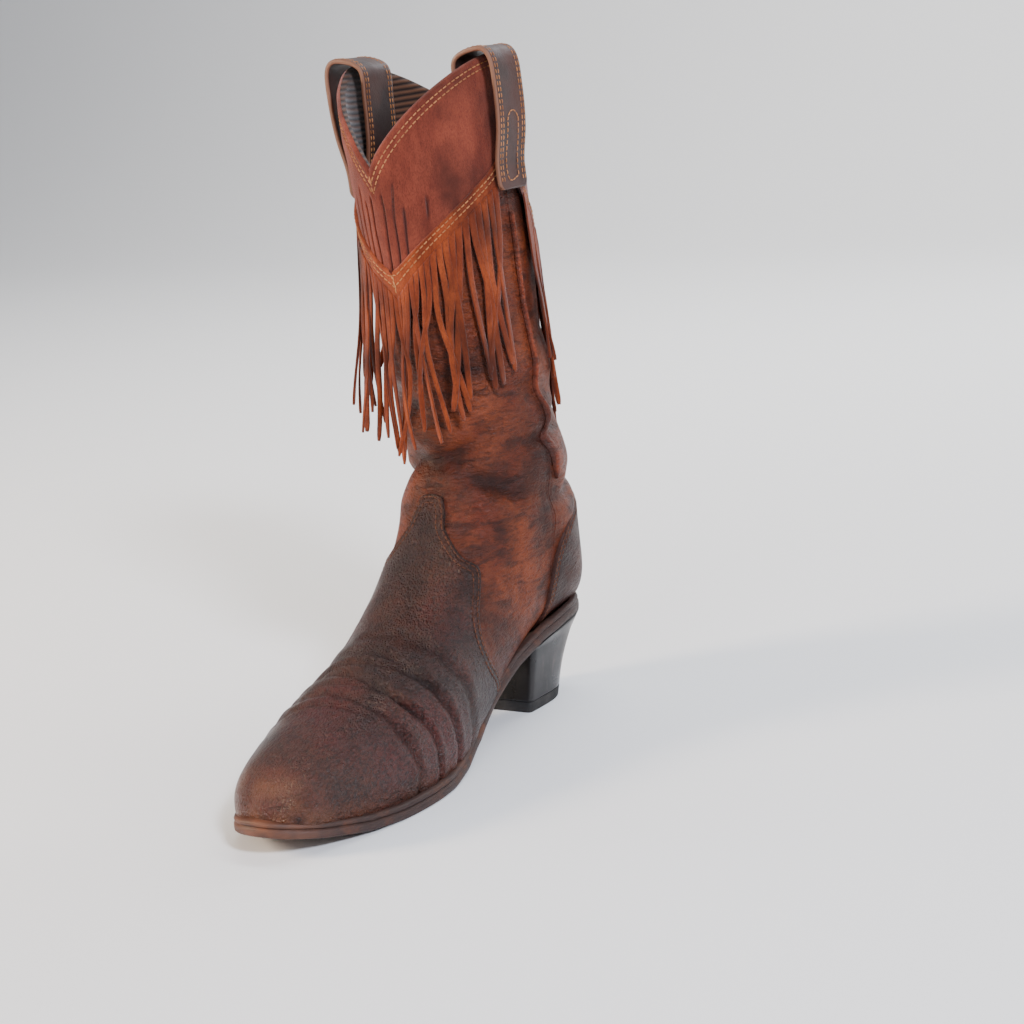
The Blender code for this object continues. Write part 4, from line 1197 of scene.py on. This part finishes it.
def strap_points(side):
    half = STRAP_T / 2
    low, flat = RIM_PEAK - STRAP_DROP, BAND_OUT + 0.0006 + half
    inner = LINING_IN - 0.0048 - half
    rows = [
        (low, flat, low),
        (low + 0.014, flat, low + 0.014),
        (low + 0.032, flat + STRAP_STAND * 0.75, low + 0.032),
        (RIM_PEAK - 0.018, flat + STRAP_STAND, RIM_PEAK - 0.018),
        (RIM_PEAK - 0.004, flat + STRAP_STAND * 0.8, RIM_PEAK - 0.002),
        (RIM_PEAK, 0.0035, RIM_PEAK + 0.0030),
        (RIM_PEAK - 0.004, inner - STRAP_STAND * 0.7, RIM_PEAK - 0.002),
        (RIM_PEAK - 0.018, inner - STRAP_STAND * 0.8, RIM_PEAK - 0.018),
        (low + 0.032, inner - STRAP_STAND * 0.5, low + 0.030),
        (low + 0.018, inner, low + 0.018),
        (low + 0.008, inner, low + 0.008),
    ]
    return smooth([(side_x(z, offset, side), height) for z, offset, height in rows], 150)


STRAP_PROFILE = [(-1.0, -0.55), (-0.97, -0.9), (-0.92, -1), (-0.80, -0.96), (-0.5, -0.9), (0, -0.86)]
STRAP_PROFILE += [(0.5, -0.9), (0.80, -0.96), (0.92, -1), (0.97, -0.9), (1.0, -0.55), (1.0, 0.55)]
STRAP_PROFILE += [(0.97, 0.9), (0.92, 1), (0.80, 0.96), (0.5, 0.9), (0, 0.86), (-0.5, 0.9)]
STRAP_PROFILE += [(-0.80, 0.96), (-0.92, 1), (-0.97, 0.9), (-1.0, 0.55)]


def make_strap(name, side, thread):
    path = strap_points(side)
    tangent = unit(np.gradient(path, axis=0))
    normal = np.stack((tangent[:, 1], -tangent[:, 0]), 1)
    along = np.concatenate(([0], np.cumsum(np.linalg.norm(np.diff(path, axis=0), axis=1))))
    rows, raw = [], []
    for k in range(len(path)):
        end = min(along[k], along[-1] - along[k])
        half = 0.5 * STRAP_WIDTH * math.sqrt(max(0.05, 1 - max(0, 1 - end / 0.004) ** 2 * 0.35))
        ring = []
        for u, v in STRAP_PROFILE:
            x, z = path[k] + normal[k] * v * STRAP_T / 2
            ring.append((side * x, STRAP_Y + u * half, z))
            raw.append(1.0 if abs(u) > 0.95 else 0.0)
        rows.append(ring if side > 0 else ring[::-1])
    if side < 0:
        raw = [v for k in range(len(path)) for v in raw[k * 22 : k * 22 + 22][::-1]]
    points, faces = strip(rows, caps=True)
    batch = Batch()
    batch.add(points, faces)
    obj = batch.piece(name, STRAP_LEATHER, "boot", (name.replace("_leather", ""),))
    paint(obj, "raw_edge", raw)
    strap_stitching(path, normal, along, side, thread)


def strap_stitching(path, normal, along, side, thread):
    """Two rows along each edge, and an arch where the strap is sewn down."""
    out3 = np.stack((side * normal[:, 0], 0 * normal[:, 0], normal[:, 1]), 1)
    face = np.stack((side * path[:, 0], np.full(len(path), STRAP_Y), path[:, 1]), 1)
    face += out3 * (STRAP_T / 2 - 0.0001)
    keep = (along > 0.003) & (along < along[-1] - 0.003)
    for u in (-0.0112, -0.0090, 0.0090, 0.0112):
        stitch_run(thread, face[keep] + np.array((0, u, 0)), out3[keep], 0.0)
    turns = np.linspace(0, np.pi, 40)
    arch = [(0.0050 * math.cos(a), 0.034 + 0.0055 * math.sin(a)) for a in turns]
    arch = [(0.0050, 0.006)] + arch + [(-0.0050, 0.006), (0.0050, 0.006)]
    points, outs = [], []
    for u, reach in smooth(arch, 240):
        points.append([np.interp(reach, along, face[:, i]) for i in range(3)] + np.array((0, u, 0)))
        outs.append([np.interp(reach, along, out3[:, i]) for i in range(3)])
    stitch_run(thread, np.array(points), np.array(outs), 0.0)


# ---- Side piping ----
def make_piping(name, angle):
    """A raised welt of leather down the side seam, ending in a leaf."""
    rows = [(0.126, 0.0002), (0.130, 0.0026), (0.134, 0.0044), (0.142, 0.0054), (0.152, 0.0036)]
    rows += [(0.172, 0.0024), (0.220, 0.0023), (0.268, 0.0023)]
    widths = smooth(rows, 170)
    shares = np.array((-1, -0.85, -0.5, 0, 0.5, 0.85, 1))
    lifts = np.array((0.0016, 0.0026, 0.0034, 0.0037, 0.0034, 0.0026, 0.0016))
    z, half = widths[:, :1], widths[:, 1:]
    turned = angle + shares * half / 0.050
    t = np.broadcast_to(section_at(np.full(z.shape, angle), z), turned.shape)
    base = form_points(t, turned)
    lifted = lifts + 0.0001 + relief(base, turned)
    rings = base + lifted[..., None] * form_normals(t, turned)
    edges = np.broadcast_to(np.where(np.abs(shares) > 0.8, 0.6, 0.0), turned.shape).ravel()
    points = np.array(rings).reshape(-1, 3)
    faces = []
    for r in range(len(rings) - 1):
        for c in range(6):
            i = r * 7 + c
            faces.append([i, i + 1, i + 8, i + 7])
    obj = piece(name + "_welt", points + SHIFT, faces, PIPING_LEATHER, "boot", (name,))
    paint(obj, "edge", edges)
    paint(obj, "crease", np.zeros(len(points)))


# ---- Sole and heel ----
def sole_outline(count=240):
    """The smooth outline of the sole in plan, as points and outward directions."""
    rows = smooth(SOLE_PLAN, 160)
    outer = np.stack((rows[:, 1], rows[:, 0]), 1)
    inner = np.stack((rows[:, 2], rows[:, 0]), 1)
    loop = np.concatenate((outer, inner[::-1]))
    steps = np.linalg.norm(np.diff(np.concatenate((loop, loop[:1])), axis=0), axis=1)
    along = np.concatenate(([0], np.cumsum(steps)))
    closed = np.concatenate((loop, loop[:1]))
    even = np.linspace(0, along[-1], count, endpoint=False)
    loop = np.stack([np.interp(even, along, closed[:, i]) for i in range(2)], 1)
    for _ in range(4):
        loop = (np.roll(loop, 1, 0) + 2 * loop + np.roll(loop, -1, 0)) / 4
    tangent = unit(np.roll(loop, -1, 0) - np.roll(loop, 1, 0))
    out = np.stack((tangent[:, 1], -tangent[:, 0]), 1)
    centre = loop.mean(0)
    if ((loop - centre) * out).sum() < 0:
        out = -out
    return loop, out


def sole_ring(loop, out, inset, rise):
    xy = loop - out * inset
    return np.stack((xy[:, 0], xy[:, 1], underside(loop[:, 1]) + rise), 1)


def make_sole():
    """Outsole and welt with a groove between them; the tread closes the bottom."""
    loop, out = sole_outline()
    profile = [(0.0100, 0.0), (0.0030, 0.0), (0.0008, 0.0002), (0.0001, 0.0009), (0.0, 0.0022)]
    profile += [(0.0001, 0.0036), (0.0006, 0.0044), (0.0016, 0.0047), (0.0016, 0.0049), (0.0007, 0.0052)]
    profile += [(0.0004, 0.0062), (0.0008, 0.0071), (0.0016, 0.0075), (0.0040, 0.0076)]
    rows = [sole_ring(loop, out, inset, rise) for inset, rise in profile]
    points, faces = strip(rows)
    faces = [face[::-1] for face in faces]
    obj = piece("sole_edge", points + SHIFT, faces, SOLE_LEATHER, "boot", ("outsole", "welt"))
    wear = (1 - ease(points[:, 1], -0.150, -0.120)) * (0.5 + 0.5 * lumps(points, 0.004, 51))
    paint(obj, "toe_wear", np.clip(wear, 0, 1))
    rows = [sole_ring(loop, out, 0.0098, 0.0)]
    rows.append(np.stack((loop[:, 0] * 0.55 + 0.003, loop[:, 1] * 0.985, underside(loop[:, 1])), 1))
    middle = rows[1].copy()
    middle[:, 0] = 0.004
    rows.append(middle)
    points, faces = strip(rows)
    obj = piece("tread_face", points + SHIFT, faces, TREAD_LEATHER, "boot")


def heel_ring(z, top, inset, count=120):
    share = 1 - z / HEEL_TOP_Z
    wide, deep = 1 + (HEEL_TAPER[0] - 1) * share, 1 + (HEEL_TAPER[1] - 1) * share
    rows = [(HEEL_BREAST_Y + (y - HEEL_BREAST_Y) * deep, half * wide) for y, half in smooth(HEEL_PLAN, 24)]
    hollow = 0.0022 * math.sin(math.pi * min(1, z / HEEL_TOP_Z))
    loop = np.array([(-half, y) for y, half in rows] + [(half, y) for y, half in rows[::-1]])
    steps = np.linalg.norm(np.diff(np.concatenate((loop, loop[:1])), axis=0), axis=1)
    along = np.concatenate(([0], np.cumsum(steps)))
    closed = np.concatenate((loop, loop[:1]))
    even = np.linspace(0, along[-1], count, endpoint=False)
    loop = np.stack([np.interp(even, along, closed[:, i]) for i in range(2)], 1)
    for _ in range(3):
        loop = (np.roll(loop, 1, 0) + 2 * loop + np.roll(loop, -1, 0)) / 4
    centre = np.array((0.0, 0.098))
    loop = loop - unit(loop - centre) * (inset + hollow)
    heights = np.full(count, z) if not top else underside(loop[:, 1]) - 0.0002
    return np.stack((loop[:, 0], loop[:, 1], heights), 1)


HEEL_NODES = tuple(f"heel_lift_{k}" for k in range(1, 6))


def make_heel():
    levels = np.linspace(TOP_LIFT_T + 0.0002, 0.036, 40)
    rows = [heel_ring(z, False, 0.0) for z in levels]
    high = heel_ring(HEEL_TOP_Z, True, 0.0)
    last = rows[-1]
    for f in (0.35, 0.7, 1.0):
        rows.append(last + (high - last) * f)
    points, faces = strip(rows, caps=True)
    obj = piece("heel_stack", points + SHIFT, faces, HEEL_LACQUER, "boot", HEEL_NODES)
    rows = [heel_ring(0.0, False, 0.0006), heel_ring(0.0006, False, 0.0), heel_ring(0.0054, False, -0.0001)]
    rows.append(heel_ring(0.0059, False, 0.0005))
    points, faces = strip(rows, caps=True)
    obj = piece("heel_rubber", points + SHIFT, faces, LIFT_RUBBER, "boot", ("heel_top_lift",))


# ---- Plain finishes for what the upper hides ----
def plain(name, color, rough, scale, **sockets):
    f = Finish(name)
    base = f.mixed(f.ramp(f.noise(scale, 4.0), 0.35, 0.7), color, tuple(0.62 * c for c in color))
    return f.finish(base, rough, f.sum((f.noise(scale * 8, 3.0), 0.6)), 0.0002, **sockets)


def finish_hidden_nodes():
    board = plain("stiffener_board", (0.42, 0.34, 0.24), 0.85, 60)
    leather = plain("insole_board", (0.34, 0.21, 0.12), 0.75, 40)
    finishes = {
        "toe_puff": board,
        "counter_stiffener": board,
        "insole": leather,
        "cork_filler": plain("cork_granules", (0.30, 0.18, 0.09), 0.9, 320),
        "shank": plain("shank_steel", (0.52, 0.52, 0.53), 0.35, 120, Metallic=1.0),
        "vamp_lining": SOCK_CLOTH,
        "sock_liner": SOCK_CLOTH,
    }
    steel = plain("nail_steel", (0.55, 0.55, 0.56), 0.3, 200, Metallic=1.0)
    for k in (1, 2, 3):
        finishes[f"heel_nail_{k}"] = steel
    for node, finish in finishes.items():
        obj = bpy.data.objects[node]
        obj.data.materials.clear()
        obj.data.materials.append(finish)



tan_stitches, brown_stitches = Batch(), Batch()
make_vamp(brown_stitches)
make_counter(brown_stitches)
make_shaft()
make_lining()
make_yoke(tan_stitches)
make_band(tan_stitches)
make_fringe()
for strap_side, strap_name in ((1, "pull_strap_medial"), (-1, "pull_strap_lateral")):
    make_strap(strap_name + "_leather", strap_side, tan_stitches)
make_piping("side_piping_medial", 3 * np.pi / 2)
make_piping("side_piping_lateral", np.pi / 2)
make_sole()
make_heel()
finish_hidden_nodes()
tan_stitches.piece("tan_stitching", TAN_THREAD)
brown_stitches.piece("brown_stitching", DARK_THREAD)


# ---- Camera, lights and stage ----
def area_light(name, place, aim, power, size, color):
    data = bpy.data.lights.new(name, "AREA")
    data.energy, data.size, data.color = power, size, color
    obj = bpy.data.objects.new(name, data)
    obj.location = place
    obj.rotation_euler = (Vector(aim) - Vector(place)).to_track_quat("-Z", "Y").to_euler()
    bpy.context.scene.collection.objects.link(obj)


CAMERA_PLACE = Vector((0.599, -0.830, 0.349)) + Vector(SHIFT)
CAMERA_TURN, CAMERA_TILT, CAMERA_ROLL = -0.563, -0.224, -0.093
FOCAL_PIXELS = 2072.0


def make_camera():
    data = bpy.data.cameras.new("camera")
    data.sensor_width = 36.0
    data.lens = 36.0 * FOCAL_PIXELS / 1024
    data.shift_x, data.shift_y = -16.3 / 1024, 9.6 / 1024
    obj = bpy.data.objects.new("camera", data)
    forward = Vector((
        math.sin(CAMERA_TURN) * math.cos(CAMERA_TILT),
        math.cos(CAMERA_TURN) * math.cos(CAMERA_TILT),
        math.sin(CAMERA_TILT),
    ))
    right = Vector((math.cos(CAMERA_TURN), -math.sin(CAMERA_TURN), 0))
    up = right.cross(forward)
    c, s = math.cos(CAMERA_ROLL), math.sin(CAMERA_ROLL)
    x_axis, y_axis = right * c + up * s, up * c - right * s
    matrix = Matrix((x_axis, y_axis, -forward)).transposed().to_4x4()
    matrix.translation = CAMERA_PLACE
    obj.matrix_world = matrix
    bpy.context.scene.collection.objects.link(obj)
    bpy.context.scene.camera = obj


def make_stage():
    profile = [(-5.0, 0.0), (2.2, 0.0)]
    profile += [(2.2 + 1.6 * math.sin(a), 1.6 - 1.6 * math.cos(a)) for a in np.linspace(0.05, np.pi / 2, 24)]
    profile += [(3.8, 6.0)]
    rows = [(x, y, z) for y, z in profile for x in (-7.0, 7.0)]
    faces = [(i, i + 1, i + 3, i + 2) for i in range(0, len(rows) - 2, 2)]
    mesh = bpy.data.meshes.new("backdrop")
    mesh.from_pydata(rows, [], faces)
    mesh.shade_smooth()
    f = Finish("pale_backdrop")
    mesh.materials.append(f.finish((0.90, 0.90, 0.90), 0.95))
    floor = bpy.data.objects.new("backdrop", mesh)
    bpy.context.scene.collection.objects.link(floor)
    world = bpy.data.worlds.new("studio")
    world.use_nodes = True
    world.node_tree.nodes["Background"].inputs["Color"].default_value = (0.86, 0.90, 1.0, 1)
    world.node_tree.nodes["Background"].inputs["Strength"].default_value = 0.24
    bpy.context.scene.world = world
    area_light("key", (1.35, -0.9, 1.25), (0, 0, 0.12), 46, 0.30, (0.82, 0.87, 1.0))
    area_light("warm_left", (-1.3, -0.9, 0.8), (0, 0, 0.18), 36, 0.40, (1.0, 0.80, 0.60))
    area_light("front", (0.2, -1.8, 1.0), (0, 0, 0.15), 9, 1.0, (1.0, 0.97, 0.94))
    area_light("back", (0.2, 1.6, 1.2), (0, 0, 0.2), 8, 0.9, (0.85, 0.92, 1.0))
    area_light("backdrop", (0.0, 1.2, 2.6), (0, 3.4, 0.8), 120, 2.4, (1.0, 1.0, 1.0))


make_camera()
make_stage()
